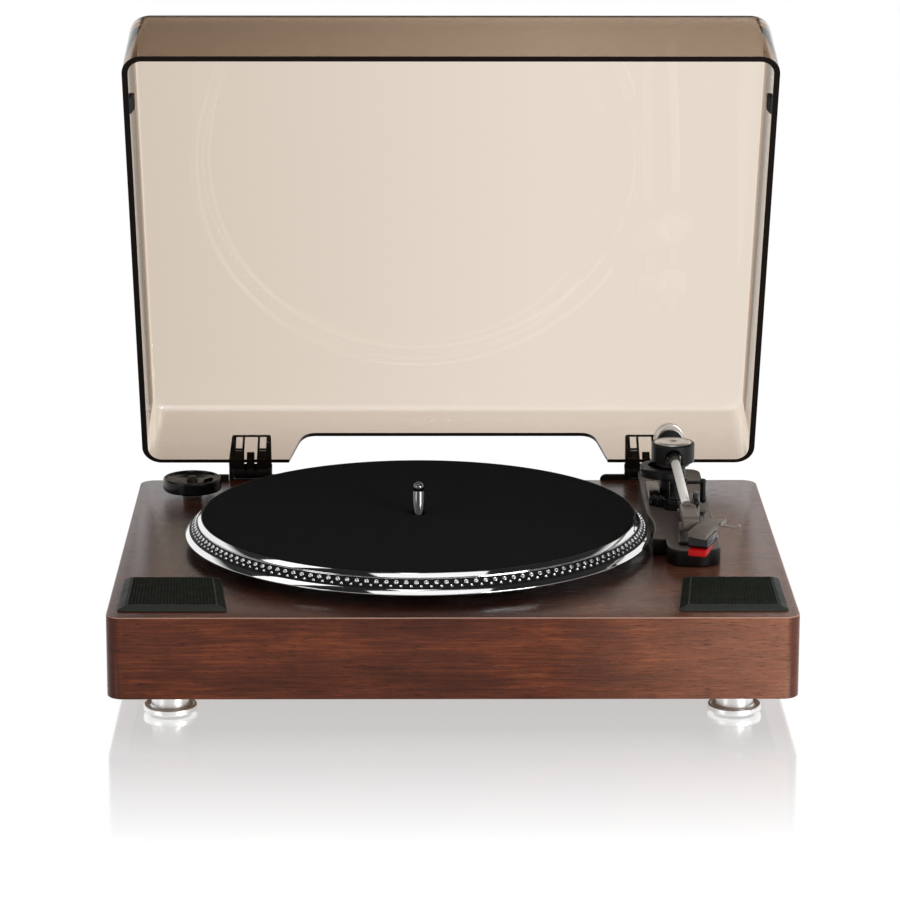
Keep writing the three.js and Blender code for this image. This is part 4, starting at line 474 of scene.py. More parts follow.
def finished(bm, name, body, material, stands_for=None, slot=None, smooth=35, bevel=None):
    """An object of the mesh in bm, in place on its body; bevel is the width of its rounded edges."""
    bmesh.ops.remove_doubles(bm, verts=bm.verts, dist=1e-5)
    bmesh.ops.recalc_face_normals(bm, faces=bm.faces)
    data = to_data(bm, name)
    data.transform(PLACE)
    piece = linked(name, data)
    data.shade_smooth()
    if bevel:
        edge = piece.modifiers.new("edges", "BEVEL")
        edge.width = bevel * MM
        edge.segments = 2
        edge.limit_method = "ANGLE"
        edge.angle_limit = math.radians(35)
        edge.harden_normals = True
    else:
        data.set_sharp_from_angle(angle=math.radians(smooth))
    for one in material if isinstance(material, list) else [material]:
        data.materials.append(one)
    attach(piece, body)
    if stands_for:
        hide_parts(stands_for)
    return piece


def dressed(node, body, material, bevel, name, slot):
    """The node's own solid with cleaned faces and small rounded edges."""
    bm = blank()
    bm.from_mesh(bpy.data.objects[node].data)
    bm.transform(PLACE.inverted())
    bmesh.ops.remove_doubles(bm, verts=bm.verts, dist=1e-4)
    bmesh.ops.dissolve_limit(bm, angle_limit=math.radians(1.0), verts=bm.verts, edges=bm.edges)
    return finished(bm, name, body, material, node, slot, bevel=bevel)


def paint(piece, index, test):
    """Gives faces that pass the test, by their centre in millimetres, the piece's material of that index."""
    back = PLACE.inverted()
    for face in piece.data.polygons:
        if test(back @ face.center, face.normal):
            face.material_index = index


def loop_faces(bm, rings, caps=True):
    """Faces between rings of vertices, each ring the same length."""
    for a, b in zip(rings, rings[1:]):
        for i in range(len(a)):
            j = (i + 1) % len(a)
            quad = list(dict.fromkeys((a[i], a[j], b[j], b[i])))
            if len(quad) > 2:
                bm.faces.new(quad)
    for ring in (rings[0], rings[-1]) if caps else ():
        if len(set(ring)) > 2:
            bm.faces.new(ring)
    return bm


def loft(sections):
    bm = blank()
    return loop_faces(bm, [[bm.verts.new(p) for p in section] for section in sections])


def spun(r, angle, h, centre, axis):
    a, b = r * math.cos(angle), r * math.sin(angle)
    spot = {"z": (a, b, h), "x": (h, a, b), "y": (a, h, b)}[axis]
    return Vector(centre) + Vector(spot)


def turned(bm, profile, centre, count=64, axis="z", ring=False):
    """A solid turned from (radius, along) points; a ring's profile closes on itself."""
    rows = []
    for r, h in profile:
        if r < 1e-6:
            rows.append([bm.verts.new(spun(0, 0, h, centre, axis))] * count)
        else:
            angles = [2 * math.pi * i / count for i in range(count)]
            rows.append([bm.verts.new(spun(r, angle, h, centre, axis)) for angle in angles])
    if ring:
        rows.append(rows[0])
    return loop_faces(bm, rows, caps=not ring)


def rod(radius, low, high, centre, count=32, axis="z"):
    """A plain cylinder, for cutting."""
    return turned(blank(), pin(radius, low, high), centre, count, axis)


def upright(x, y, z):
    return Vector((x, y, z))


def endways(x, z, y):
    return Vector((x, y, z))


def prism(bm, outline, low, high, place=upright):
    """A prism over 2-D points; place makes a vertex of a point and its height."""
    return loop_faces(bm, [[bm.verts.new(place(x, y, z)) for x, y in outline] for z in (low, high)])


def block(low, high):
    """A plain box between two corners, for cutting."""
    return prism(blank(), box_line(*low[:2], *high[:2]), low[2], high[2])


def slab(bm, outline, low, high, edge, steps, place=upright):
    """A prism over an anticlockwise outline whose top and bottom edges are rounded."""
    rows = []
    for base, sign in ((low, 1), (high, -1)):
        part = [(edge * (1 - math.sin(a)), base + sign * edge * (1 - math.cos(a))) for a in quarter(0, steps)]
        rows += part[::sign]
    return loop_faces(bm, [[bm.verts.new(place(x, y, z)) for x, y in shrunk(outline, inset)] for inset, z in rows])


def tube(bm, path, radius, count):
    """A round rod along a list of points, with closed ends; radius may be a list too."""
    points = [Vector(p) for p in path]
    radii = radius if isinstance(radius, list) else [radius] * len(points)
    side = None
    rings = []
    for i, p in enumerate(points):
        ahead = (points[min(i + 1, len(points) - 1)] - points[max(i - 1, 0)]).normalized()
        if side is None:
            side = ahead.orthogonal().normalized()
        side = (side - ahead * side.dot(ahead)).normalized()
        up = ahead.cross(side)
        angles = [2 * math.pi * k / count for k in range(count)]
        rings.append([bm.verts.new(p + (side * math.cos(a) + up * math.sin(a)) * radii[i]) for a in angles])
    return loop_faces(bm, rings)


def carved(bm, *cutters, operation="DIFFERENCE"):
    """bm with each cutter taken off (or added), as a new bmesh."""
    scratch = []
    for one in (bm, *cutters):
        bmesh.ops.remove_doubles(one, verts=one.verts, dist=1e-4)
        bmesh.ops.recalc_face_normals(one, faces=one.faces)
        scratch.append(linked("scratch", to_data(one)))
    for cutter in scratch[1:]:
        cut = scratch[0].modifiers.new("cut", "BOOLEAN")
        cut.operation = operation
        cut.solver = "EXACT"
        cut.object = cutter
    bpy.context.view_layer.update()
    shaped = scratch[0].evaluated_get(bpy.context.evaluated_depsgraph_get()).to_mesh()
    result = blank()
    result.from_mesh(shaped)
    for one in scratch:
        data = one.data
        bpy.data.objects.remove(one)
        bpy.data.meshes.remove(data)
    return result


# ---- plinth

SPEAKER_X, SPEAKER_Y = 171.5, -117.5
JACKS_X, JACKS_Z = 20.0, -25.85


def build_plinth():
    wall, top, over = 12.0, 9.0, 2.0
    half_w, half_d = PLINTH_W / 2, PLINTH_D / 2
    bm = slab(blank(), rounded(PLINTH_W, PLINTH_D, PLINTH_R, 12), -PLINTH_H, 0, 0.9, 4)
    cuts = [
        block((wall - half_w, wall - half_d, -PLINTH_H - over), (half_w - wall, half_d - wall, -top)),
        block((JACKS_X - 48, half_d - wall - over, JACKS_Z - 11), (JACKS_X + 48, half_d + over, JACKS_Z + 11)),
    ]
    motor = PLATTER + Vector((*polar(1, math.radians(142), (0, 0)), 0)) * 100
    speakers = [(22, side * SPEAKER_X, SPEAKER_Y) for side in (-1, 1)]
    for radius, x, y in (*speakers, (8.3, *PLATTER.xy), (6.3, *motor.xy), (3.3, *ARM.xy)):
        cuts.append(rod(radius, -top - over, over, (x, y, 0), 48))
    finished(carved(bm, *cuts), "plinth_body", "chassis", MAHOGANY, "plinth_shell", "mahogany", smooth=32)

    profile = [
        (0, 2.3), (12.8, 2.3), (12.8, 1.0), (15.3, 1.0), (16.5, 2.1), (16.5, 4.8), (15.9, 5.4), (14.9, 5.4),
        (14.2, 4.7), (13.2, 4.25), (12.3, 4.6), (11.6, 5.6), (11.5, 7.0), (11.5, 18.7), (0, 18.7),
    ]
    profile, pad = filleted(profile, 0.35, 3, False), filleted(pin(12.5, 0, 2), 0.3, 3, False)
    for end, y in (("front", -129.0), ("rear", 129.0)):
        for side, x in (("left", -173.5), ("right", 173.5)):
            spot, corner = (x, y, FLOOR_Z), f"{end}_{side}"
            foot = turned(blank(), profile, spot, 72)
            finished(foot, f"metal_foot_{corner}", "chassis", FOOT, f"foot_{corner}", "foot_metal", smooth=50)
            sole = turned(blank(), pad, spot, 48)
            finished(sole, f"rubber_pad_{corner}", "chassis", RUBBER, f"foot_pad_{corner}", "rubber")
    dressed("bottom_plate", "chassis", BOARD, 0.3, "floor_board", "fibreboard")


# ---- speakers

GRILLE_W, GRILLE_D, GRILLE_H, GRILLE_SLOPE = 64.0, 72.0, 2.8, 5.0
GRILLE_SLANT, GRILLE_SPREAD = 7.2, 2.7
WEAVE, WEAVE_HOLE = 2.0, 1.15


def build_grilles():
    nx, ny = [int((size - 2 * GRILLE_SLOPE - 1.6) // WEAVE) for size in (GRILLE_W, GRILLE_D)]
    half_x, half_y = nx * WEAVE / 2, ny * WEAVE / 2
    for name, side in (("left", -1), ("right", 1)):
        cx, cy = side * SPEAKER_X, SPEAKER_Y
        bm = blank()

        def ring(inset, z, radius):
            outline = rounded(GRILLE_W - 2 * inset, GRILLE_D - 2 * inset, radius, 6, cx, cy)
            return [bm.verts.new((x, y, z)) for x, y in outline]

        def square(z):
            points = []
            for sx, sy in ((1, 1), (-1, 1), (-1, -1), (1, -1)):
                points += [bm.verts.new((cx + sx * half_x, cy + sy * half_y, z))] * 7
            return points

        outer = [ring(0, 0.3, 3), ring(0, 0.85, 3), ring(0.3, 1.15, 2.8)]
        outer += [ring(GRILLE_SLOPE - 0.5, GRILLE_H + 0.12, 1.2), ring(GRILLE_SLOPE + 0.1, GRILLE_H + 0.3, 1.0)]
        field, under = square(GRILLE_H + 0.3), square(GRILLE_H - 0.6)
        inner = [ring(GRILLE_SLOPE + 1.2, GRILLE_H - 0.7, 1.0), ring(1.2, 0.9, 2), ring(1.2, 0.3, 2)]
        loop_faces(bm, [*outer, field, under, *inner, outer[0]], caps=False)
        weave(bm, cx - half_x, cy - half_y, nx, ny, GRILLE_H - 0.45, GRILLE_H + 0.2)
        for v in bm.verts:
            inward = 0.5 - side * (v.co.x - cx) / GRILLE_W
            rear = 0.5 + (v.co.y - cy) / GRILLE_D
            v.co.x += side * inward * (GRILLE_SLANT * rear - GRILLE_SPREAD)
        node = f"speaker_grille_{name}"
        grille = finished(bm, f"grille_mesh_{name}", "chassis", [MESH, WIRE], node, "mesh_metal", smooth=30)
        paint(
            grille, 1, lambda at, normal: GRILLE_H - 0.8 < at.z <= GRILLE_H + 0.25
            and abs(at.y - cy) < half_y + 0.6 and abs(at.x - cx) < half_x + 3,
        )


def weave(bm, x0, y0, nx, ny, low, high):
    """A closed sheet of nx by ny square holes."""
    margin = (WEAVE - WEAVE_HOLE) / 2

    def lines(start, count):
        at = [start]
        for k in range(count):
            at += [start + k * WEAVE + margin, start + (k + 1) * WEAVE - margin]
        return [*at, start + count * WEAVE]

    xs, ys = lines(x0, nx), lines(y0, ny)
    grid = {}
    for level, z in enumerate((low, high)):
        for i, x in enumerate(xs):
            for j, y in enumerate(ys):
                grid[level, i, j] = bm.verts.new((x, y, z))

    def solid(i, j):
        inside = 0 <= i < len(xs) - 1 and 0 <= j < len(ys) - 1
        return inside and not (i % 2 and j % 2)

    # the neighbour on each side of a cell, and the two corners of that side
    sides = {(1, 0): ((1, 0), (1, 1)), (-1, 0): ((0, 1), (0, 0)), (0, 1): ((1, 1), (0, 1)), (0, -1): ((0, 0), (1, 0))}
    for i in range(len(xs) - 1):
        for j in range(len(ys) - 1):
            if not solid(i, j):
                continue
            corners = [(i, j), (i + 1, j), (i + 1, j + 1), (i, j + 1)]
            bm.faces.new([grid[0, *at] for at in corners[::-1]])
            bm.faces.new([grid[1, *at] for at in corners])
            for (di, dj), ends in sides.items():
                if not solid(i + di, j + dj):
                    a, b = [(i + k, j + m) for k, m in ends]
                    bm.faces.new([grid[0, *a], grid[0, *b], grid[1, *b], grid[1, *a]])


# ---- platter

MAT_TOP, PLATTER_FACE, PLATTER_FOOT = 18.0, 16.0, 6.2
LIP_OUT = MAT_R + GAP + 0.8
FALL = MAT_TOP - PLATTER_FOOT - 0.8
RING_HIGH, RING_LOW, BAND_SINK = 2.6, 2.8, 0.5
DOT_COUNT = 147


def rim(drop, sink=0.0):
    """Radius and height on the platter's sloping rim."""
    return LIP_OUT + (PLATTER_R - LIP_OUT) * drop / FALL - sink, MAT_TOP - drop - sink


def build_platter():
    upper, lower = rim(RING_HIGH), rim(FALL - RING_LOW)
    profile = [
        (3.9, 3.7), (14, 3.7), (14, 12.6), (71, 12.6), (71, 3), (75, 3), (75, 12.6), (137, 12.6), (145.4, 6.2),
        (PLATTER_R, PLATTER_FOOT), rim(FALL), lower, rim(FALL - RING_LOW, BAND_SINK), rim(RING_HIGH, BAND_SINK),
        upper, (LIP_OUT, MAT_TOP), (MAT_R + GAP, MAT_TOP), (MAT_R + GAP, PLATTER_FACE), (3.9, PLATTER_FACE),
    ]
    bm = turned(blank(), filleted(profile, 0.3, 3), PLATTER, 240, ring=True)
    plate = finished(bm, "platter_rings", "turntable", [PLATTER_METAL, BAND], "platter", "platter_metal", 40)

    def black(at, normal):
        """The band between the bright rings, and painted shade on the inside of the lip."""
        r = math.hypot(at.x - PLATTER.x, at.y - PLATTER.y)
        band = upper[0] - 0.35 < r < lower[0] + 0.3 and max(7, lower[1] - 0.6) < at.z < upper[1] + 0.1
        return band or (at.z > PLATTER_FACE + 0.5 and r < LIP_OUT + 0.1)

    paint(plate, 1, black)

    slope = Vector((PLATTER_R - LIP_OUT, -FALL)).normalized()
    out = Vector((-slope.y, slope.x))
    middle = Vector([(a + b) / 2 for a, b in zip(upper, lower)])
    bm = blank()
    for row, (along, radius) in enumerate(((-1.15, 1.45), (1.75, 0.95))):
        spot = middle + slope * along - Vector((BAND_SINK, BAND_SINK)) - out * 0.2
        for k in range(DOT_COUNT):
            spin = Matrix.Rotation(2 * math.pi * (k + 0.5 * row) / DOT_COUNT, 4, "Z")
            rows = []
            for r, h in ((1.0, 0.0), (1.0, 0.55), (0.82, 0.74), (0.6, 0.62), (0.25, 0.45)):
                ring = []
                for a in range(10):
                    u, v = polar(r * radius, a * math.pi / 5, (0, 0))
                    p = spot + slope * u + out * h
                    ring.append(bm.verts.new(PLATTER + spin @ Vector((p.x, v, p.y))))
                rows.append(ring)
            loop_faces(bm, rows)
    finished(bm, "strobe_dots", "turntable", DOT, None, "platter_metal", 60)

    low, high = [(r, 16.3) for r in range(12, 138, 6)], [(r, 18.0) for r in range(134, 8, -3)]
    edge = [(138.2, 16.3), (138.7, 16.6), (MAT_R, 17.2), (138.7, 17.75), (138.3, 17.95), (137.6, 18.0)]
    bm = turned(blank(), [(4.2, 16.3), *low, *edge, *high, (4.6, 18.0), (4.2, 17.7)], PLATTER, 200, ring=True)
    draw = random.Random(5)
    for v in bm.verts:
        if v.co.z > 17.9:
            v.co.z += draw.uniform(-0.05, 0.03)
        elif v.co.z > 16.4:
            r = Vector((v.co.x - PLATTER.x, v.co.y - PLATTER.y, 0))
            if r.length > 100:
                v.co += r.normalized() * draw.uniform(-0.16, 0.02)
    mat = finished(bm, "slip_mat", "turntable", FELT, "felt_mat", "felt", 60)

    top, tip = MAT_TOP + 21, 3.35
    profile = [(0, -31.7), (3.6, -31.7), (3.6, 0.3), (9, 0.3), (9, 3.4), (3.6, 3.4), (3.6, top - 6.4)]
    profile += [(tip, top - 6.0), (tip, top - 5.4)]
    profile += [polar(tip, angle, (0, top - tip)) for angle in quarter(0, 8)]
    bm = turned(blank(), profile, PLATTER, 40)
    finished(bm, "centre_spindle", "turntable", CHROME, "main_spindle", "spindle_metal")


# ---- adapter


def build_adapter():
    spot = Vector((-173, 128, 3.3))
    profile = [
        (3.9, 0), (18.7, 0), (19.5, 0.8), (19.5, 7.7), (18.7, 8.5), (17.9, 8.5), (17.2, 7.6), (16.0, 7.1),
        (15.1, 6.95), (14.2, 6.79), (13, 6.59), (11.6, 6.34), (10.2, 6.1), (9.0, 5.9), (7.8, 5.76), (6.4, 5.6),
        (3.9, 5.6),
    ]
    disc = turned(blank(), filleted(profile, 0.5, 4), spot, 96, ring=True)
    window = band(7.8, 14.2, -75, 25, spot)
    bm = carved(disc, prism(blank(), window, spot.z - 2, spot.z + 12))
    finished(bm, "single_adapter", "adapter", GLOSS, "adapter_45", "black_gloss", smooth=32)
    peg = [(0, 0.3), (6.5, 0.3), (6.5, 3.0), (3.6, 3.0), (3.6, 11.0), (2.6, 12.4), (0, 12.5)]
    bm = turned(blank(), filleted(peg, 0.4, 3, False), (*spot.xy, 0), 40)
    finished(bm, "adapter_post", "chassis", BLACK, "adapter_peg", "black_plastic")


def band(inner, outer, start, end, centre):
    """Outline of a part of a flat ring, between two angles in degrees."""
    angles = [math.radians(start + (end - start) * k / 24) for k in range(25)]
    return [polar(outer, a, centre) for a in angles] + [polar(inner, a, centre) for a in angles[::-1]]


# ---- cover

COVER_W, COVER_D, COVER_H, WALL, DRAFT, LIP = 417.5, 328.98, 55.7, 2.8, 2.5, 1.0
TILT = ABOUT_HINGE @ Matrix.Translation((0, 0, 0.6 - HINGE_Z)) @ Matrix.Translation((0, -HINGE_Y, 0))


def cover_rings(grow, start, radius, steps):
    """Outlines of the closed cover's skin, grow inside its outer one, from the rim to the panel's face."""
    rings = []
    for a in [None, *quarter(0, steps)]:
        z = start if a is None else COVER_H - radius + radius * math.sin(a)
        inset = 0 if a is None else radius - radius * math.cos(a)
        off = DRAFT * z / COVER_H + inset + grow
        outline = rounded(COVER_W - 2 * off, COVER_D - 2 * off, 13 - grow + inset / 2, 10)
        rings.append([(x, y, z - grow) for x, y in outline])
    return rings


def build_cover():
    outer = loft(cover_rings(0, 0, 5, 6))
    walls = cover_rings(WALL, WALL - 2, 5 - WALL, 4)
    # a lip narrows the rim at the front and sides, but not at the rear
    narrow = cover_rings(WALL + LIP, WALL + LIP - 2, 2, 4)[0]
    narrow = [(x, max(y, wall_y) if y > 100 else y, z) for (x, y, z), (_, wall_y, _) in zip(narrow, walls[0])]
    low, high = [[(x, y, z) for x, y, _ in ring] for ring, z in ((narrow, 1.0), (walls[0], 1.9))]
    inner = loft([narrow, low, high, *walls[1:]])
    rim_x, slope, notch_z, bend = 109.0, 0.338, 27.6, 8.5
    corner_x = rim_x - slope * notch_z
    notch = [(rim_x + slope * 2, -2)]
    for t in [k / 6 for k in range(7)]:
        notch.append((corner_x + bend * ((1 - t) ** 2 * slope - t * t), notch_z - bend * (1 - t) ** 2))
    notch += [(-x, z) for x, z in notch[::-1]]
    cutter = prism(blank(), notch, COVER_D / 2 - 12, COVER_D / 2 + 12, endways)
    bm = carved(outer, inner, cutter)
    bm.transform(TILT)
    cover = finished(bm, "smoked_cover", "cover", [SMOKED, RIM_PAINTED_SHADE], "dust_cover", "smoked_clear", smooth=40)
    # the rim's faces take the rim's painted shade
    down = TILT.to_3x3() @ Vector((0, 0, -1))
    paint(cover, 1, lambda at, normal: normal.dot(down) > 0.9 and (TILT.inverted() @ at).z < notch_z + 1)
    for side in ("left", "right"):
        dressed(f"cover_bumper_{side}", "cover", RUBBER, 0.5, f"rubber_bumper_{side}", "rubber")
    for side, x in (("left", -HINGE_X), ("right", HINGE_X)):
        hinge_plate(side, x)
        dressed(f"hinge_bracket_{side}", "chassis", HINGE_BLACK, 0.4, f"hinge_holder_{side}", "black_plastic")
        bm = slab(blank(), rounded(22.1, 9, 0.3, 2, x, HINGE_Y), -3.6, -1.2, 0.1, 1)
        slab(bm, rounded(29.4, 6.8, 0.3, 2, x, 169.3), -8, -2.6, 0.2, 1)
        for sign in (-1, 1):
            slab(bm, rounded(0.6, 3.0, 0.1, 1, x + sign * 14.97, 167.5), -4, 3.0, 0.05, 1)
        finished(bm, f"hinge_saddle_{side}", "chassis", HINGE_BLACK, None, "black_plastic")


def hinge_plate(side, x0):
    """Framed plate on the cover's rear wall with its barrel, built closed and then opened."""
    face, sheet, thick, low, mid, top = HINGE_Y - 9.7, 1.2, 3.6, 0.9, 11.0, 30.2
    wide, narrow, barrel = 14.6, 13.35, 11.1

    def turn(x, z, y):
        return Vector((x0 + x, y, z))

    def across(y, z, x):
        return Vector((x0 + x, y, z))

    def trapezium(z, *more):
        lean = wide - (wide - narrow) * (z - 2) / (top - 2)
        return [(-wide, low), (wide, low), *more[:1], (lean, z), (-lean, z), *more[1:]]

    def cut(x1, x2, z1, z2, y2):
        return block((x0 + x1, face - 2, z1), (x0 + x2, y2, z2))

    frame_line = filleted(trapezium(top, (wide, 2.0), (-wide, 2.0)), 2.2, 5)
    slits = [(2.55, 4.45, -4, mid + 0.6), (-4.45, -2.55, -4, mid + 0.6)]
    windows = [(-4.45, 4.45, mid, top - 1.1)]
    for x1, x2 in ((-10.35, -5.95), (5.95, 10.35)):
        windows += [(x1, x2, 12.4, 14.1), (x1, x2, 15.2, top - 1.1)]
    plate = slab(blank(), frame_line, face, face + sheet, 0.3, 2, turn)
    plate = carved(plate, *[cut(*each, face + 8) for each in windows + slits])

    body = slab(blank(), trapezium(mid), face + 0.2, face + thick, 0.5, 3, turn)
    web = [(face + 1.8, low), (HINGE_Y - 2.5, low), (HINGE_Y, 8.8), (face + 1.8, 9.1)]
    body = carved(body, prism(blank(), web, -barrel, barrel, across), operation="UNION")
    knuckle = filleted(pin(5, -barrel, barrel), 0.4, 3, False)
    centre = (x0, HINGE_Y, HINGE_Z)
    body = carved(body, turned(blank(), knuckle, centre, 56, "x"), operation="UNION")
    body = carved(body, rod(2.3, -20, 20, centre, 32, "x"), *[cut(*each, HINGE_Y - 2.6) for each in slits])
    merged(plate, body).transform(OPENED)
    finished(plate, f"hinge_plate_{side}", "cover", HINGE_BLACK, f"hinge_arm_{side}", "black_plastic")


# ---- tonearm

LIFT = Vector((147.5, 48, 0))
LEVER_Z = 27.6


def base_outline():
    left, right, back, front, corner, nose = 128.5, 170.5, 153.0, -56.0, 9.0, 17.0
    step_x, step_y, clear = 136.5, -27.0, 152.0
    points = [(left, step_y), (step_x, step_y), (step_x, front + nose)]
    points += curve((step_x, front + nose), (step_x, front), (step_x + nose, front), 10)[1:]
    points += curve((step_x + nose, front), (right, front), (right, front + nose), 10)[1:]
    points += [polar(corner, a, (right - corner, back - corner)) for a in quarter(0, 8)]
    points += [polar(corner, a, (left + corner, back - corner)) for a in quarter(1, 8)]
    half = math.acos((left - PLATTER.x) / clear)
    return points + [polar(clear, half - 2 * half * k / 20, PLATTER) for k in range(21)]


def build_base():
    bm = slab(blank(), base_outline(), 0.3, 11.0, 1.0, 4)
    bm = carved(bm, block((138.7, -36.8, -4), (168.3, 133.8, 6.3)), rod(3.3, -5, 20, ARM))
    finished(bm, "arm_platform", "chassis", BASE, "tonearm_base", "grey_plastic", smooth=32)

    bm = slab(blank(), filleted(box_line(130.6, 54, 138.9, 96), 1.6, 5), 11.3, 17.3, 0.7, 4)
    slab(bm, box_line(134.75, 50, 147.5, 58), 11.3, 17.3, 0.5, 3)
    drum = [(0, 11.3), (8, 11.3), (8, 18.3), (4.2, 18.3), (4.2, 29.3), (2.3, 29.3), (2.3, 12.4), (0, 12.4)]
    turned(bm, filleted(drum, 0.5, 3, False), LIFT, 48)
    boss = [(0, 2.5), (2.4, 2.5), (2.4, 7.5), (1.4, 7.5), (1.4, 2.6), (0, 2.6)]
    turned(bm, filleted(boss, 0.25, 2, False), (LIFT.x, 52, LEVER_Z), 32, "x")
    finished(bm, "lift_block", "chassis", GLOSS, "lift_housing", "black_gloss", smooth=40)

    turn = Matrix.Translation((156, -5, 11.3)) @ Matrix.Rotation(math.radians(-4.3), 4, "Z")
    bm = carved(slab(blank(), rounded(19, 76, 1.8, 6), 0, 1.8, 0.4, 3), block((-2, -8.5, -2), (2, 8.5, 4)))
    bm.transform(turn)
    finished(bm, "control_strip", "chassis", DARK, "switch_panel", "panel_dark", smooth=32)

    bm = slab(blank(), rounded(3.2, 6.5, 0.5, 4), 0, 2.2, 0.2, 2)
    for k in range(-2, 3):
        slab(bm, rounded(3.0, 0.75, 0.3, 3, 0, k * 1.3), 1.6, 2.9 + 0.25 * abs(k), 0.2, 2)
    bm.transform(turn @ Matrix.Translation((0, 0, 0.3)))
    finished(bm, "speed_button", "speed_switch", BLACK, "speed_slide", "black_plastic", smooth=40)


def build_pivot():
    tower = [(3.3, 11.3), (8.2, 11.3), (8.2, 25.4), (8.2, 32.4), (3.3, 32.4)]
    bm = turned(blank(), filleted(tower, 0.5, 3), ARM, 56, ring=True)
    collar = filleted(box_line(9.8, 25.4, 15, 32.4), 0.7, 4)
    turned(bm, collar, ARM + Vector((-6.5, 0, 0)), 72, ring=True)
    finished(bm, "pivot_column", "chassis", BLACK, "pivot_tower", "black_plastic", smooth=40)
    shaft = filleted([(0, -16), (3, -16), (3, 32.7), (11, 32.7), (11, 34.2), (0, 34.2)], 0.3, 3, False)
    finished(turned(blank(), shaft, ARM, 48), "swivel_disc", "arm_swivel", SATIN, "pivot_shaft", "satin_black")

    drum = [(0, 35.2), (14.2, 35.2), (14.2, 47.0), (13.4, 47.9), (12.6, 47.9), (12.6, 46.7), (0, 46.7)]
    bm = turned(blank(), filleted(drum, 0.35, 4, False), ARM, 96)
    r = 5.8
    arch = [(ARM.x - r, 33.2), (ARM.x + r, 33.2)]
    arch += [polar(r, math.pi * k / 20, (ARM.x, 45.8 - r)) for k in range(21)]
    channel = prism(blank(), arch, ARM.y - 17, ARM.y + 17, endways)
    bm = carved(bm, channel, rod(1.8, -12.3, 12.3, AXLE, 24, "x"))
    finished(bm, "bearing_cup", "arm_swivel", BLACK, "pivot_housing", "black_plastic", smooth=32)
    low, top = 47.0, 48.2
    cap = [(0, low), (12.3, low), (12.3, top - 0.3), (12.0, top), (11.2, top), (11.0, top - 0.12)]
    cap += [(10.8, top), (1.2, top), (0.9, top - 0.2), (0, top - 0.25)]
    finished(turned(blank(), cap, ARM, 72), "cup_cap", "arm_swivel", CAP, "pivot_cap", "cap_metal", smooth=40)


def along_arm(bm, profile, count=48, ring=True):
    """Turned about the tube: profile is (radius, distance behind the pivot)."""
    return turned(bm, profile, AXLE, count, "y", ring)


def from_tube(at):
    return math.hypot(at.x - ARM.x, at.z - TUBE_Z)


def build_arm():
    line = [(2.3, -150), (TUBE_R, -150), (TUBE_R, 54), (2.7, 54.2), (2.4, 54.2), (2.3, 54)]
    finished(along_arm(blank(), line), "arm_tube", "arm", TUBE, "tonearm_tube", "tube_metal", smooth=50)
    nose = [
        (3.2, 10), (3.7, 10), (3.7, 3), (4.3, 3), (4.3, -3), (3.7, -3), (3.7, -10), (3.9, -10), (3.9, -19),
        (3.5, -28), (3.2, -28),
    ]
    bm = along_arm(blank(), filleted(nose, 0.25, 3))
    finished(bm, "bearing_nose", "arm", SATIN, "arm_bearing_block", "satin_black")

    ring = [(3.2, -140), (4.6, -140), (5.0, -140.5), (5.0, -145.5), (4.6, -146), (3.2, -146)]
    bm = along_arm(blank(), filleted(ring, 0.2, 2))
    x, y, z = AXLE
    outline = [(y - 176.5, z + 2.3), (y - 173.1, z + 3.4), (y - 143, z + 3.4), (y - 143, z - 3.2), (y - 176.5, z - 3.2)]
    outline = filleted(outline, 0.5, 2)[::-1]
    socket = slab(blank(), outline, -5, 5, 0.8, 3, lambda a, b, c: Vector((x + c, a, b)))
    merged(bm, carved(socket, along_arm(blank(), pin(3.2, -150.3, -130), 40, False)))
    collar = finished(bm, "shell_collar", "arm", [GREY, RING], "tube_collar", "grey_plastic")
    paint(collar, 1, lambda at, normal: 3.0 < from_tube(at) < 5.2 and at.y > ARM.y - 143.05)

    weight = [(3.2, 31), (9.1, 31), (9.6, 31.5), (9.6, 40.8), (9.4, 41), (3.2, 41)]
    bm = along_arm(blank(), filleted(weight, 0.2, 2), 72)
    teeth, rings = 48, []
    knurl = [
        (3.2, 41.0), (9.0, 41.0), (9.6, 41.3), (9.75, 41.7), (9.75, 45.3), (9.4, 46.0), (8.4, 46.0), (7.8, 45.4),
        (3.2, 45.4),
    ]
    for r0, d in knurl:
        radii = [r0 + (0.25 if k % 2 and 9.5 < r0 else 0) for k in range(teeth * 2)]
        rings.append([bm.verts.new(spun(r, math.pi * k / teeth, d, AXLE, "y")) for k, r in enumerate(radii)])
    loop_faces(bm, [*rings, rings[0]], caps=False)
    finished(bm, "balance_weight", "balance_weight", WEIGHT, "counterweight", "weight_metal", smooth=40)

    dial = [
        (3.2, 25.9), (4.8, 25.9), (5.0, 26.1), (5.0, 27.9), (8.2, 27.9), (8.6, 28.3), (8.6, 30.4), (8.3, 30.7),
        (3.2, 30.7),
    ]
    bm = along_arm(blank(), filleted(dial, 0.15, 2), 72)
    for k in range(24):
        spin = Matrix.Translation(AXLE) @ Matrix.Rotation(2 * math.pi * k / 24, 4, "Y")
        mark = slab(blank(), rounded(0.22, 1.1 if k % 4 else 1.7, 0.1, 2), 8.4, 8.64, 0.03, 1)
        mark.transform(spin @ Matrix.Translation((0, 29.3, 0)))
        merged(bm, mark)
    dial = finished(bm, "force_ring", "force_dial", [BLACK, JACK_WHITE], "counterweight_dial", "black_plastic", 40)
    paint(dial, 1, lambda at, normal: from_tube(at) > 8.61)


SHELL = Matrix.Translation(ARM + Vector((3.3, -197.6, TUBE_Z))) @ Matrix.Rotation(math.radians(-20), 4, "Z")


def on_head(bm, *rest, smooth):
    """A piece of the arm that was built about the headshell."""
    bm.transform(SHELL)
    finished(bm, rest[0], "arm", *rest[1:], smooth=smooth)


def sideways(y, z, x):
    return Vector((x, y, z))


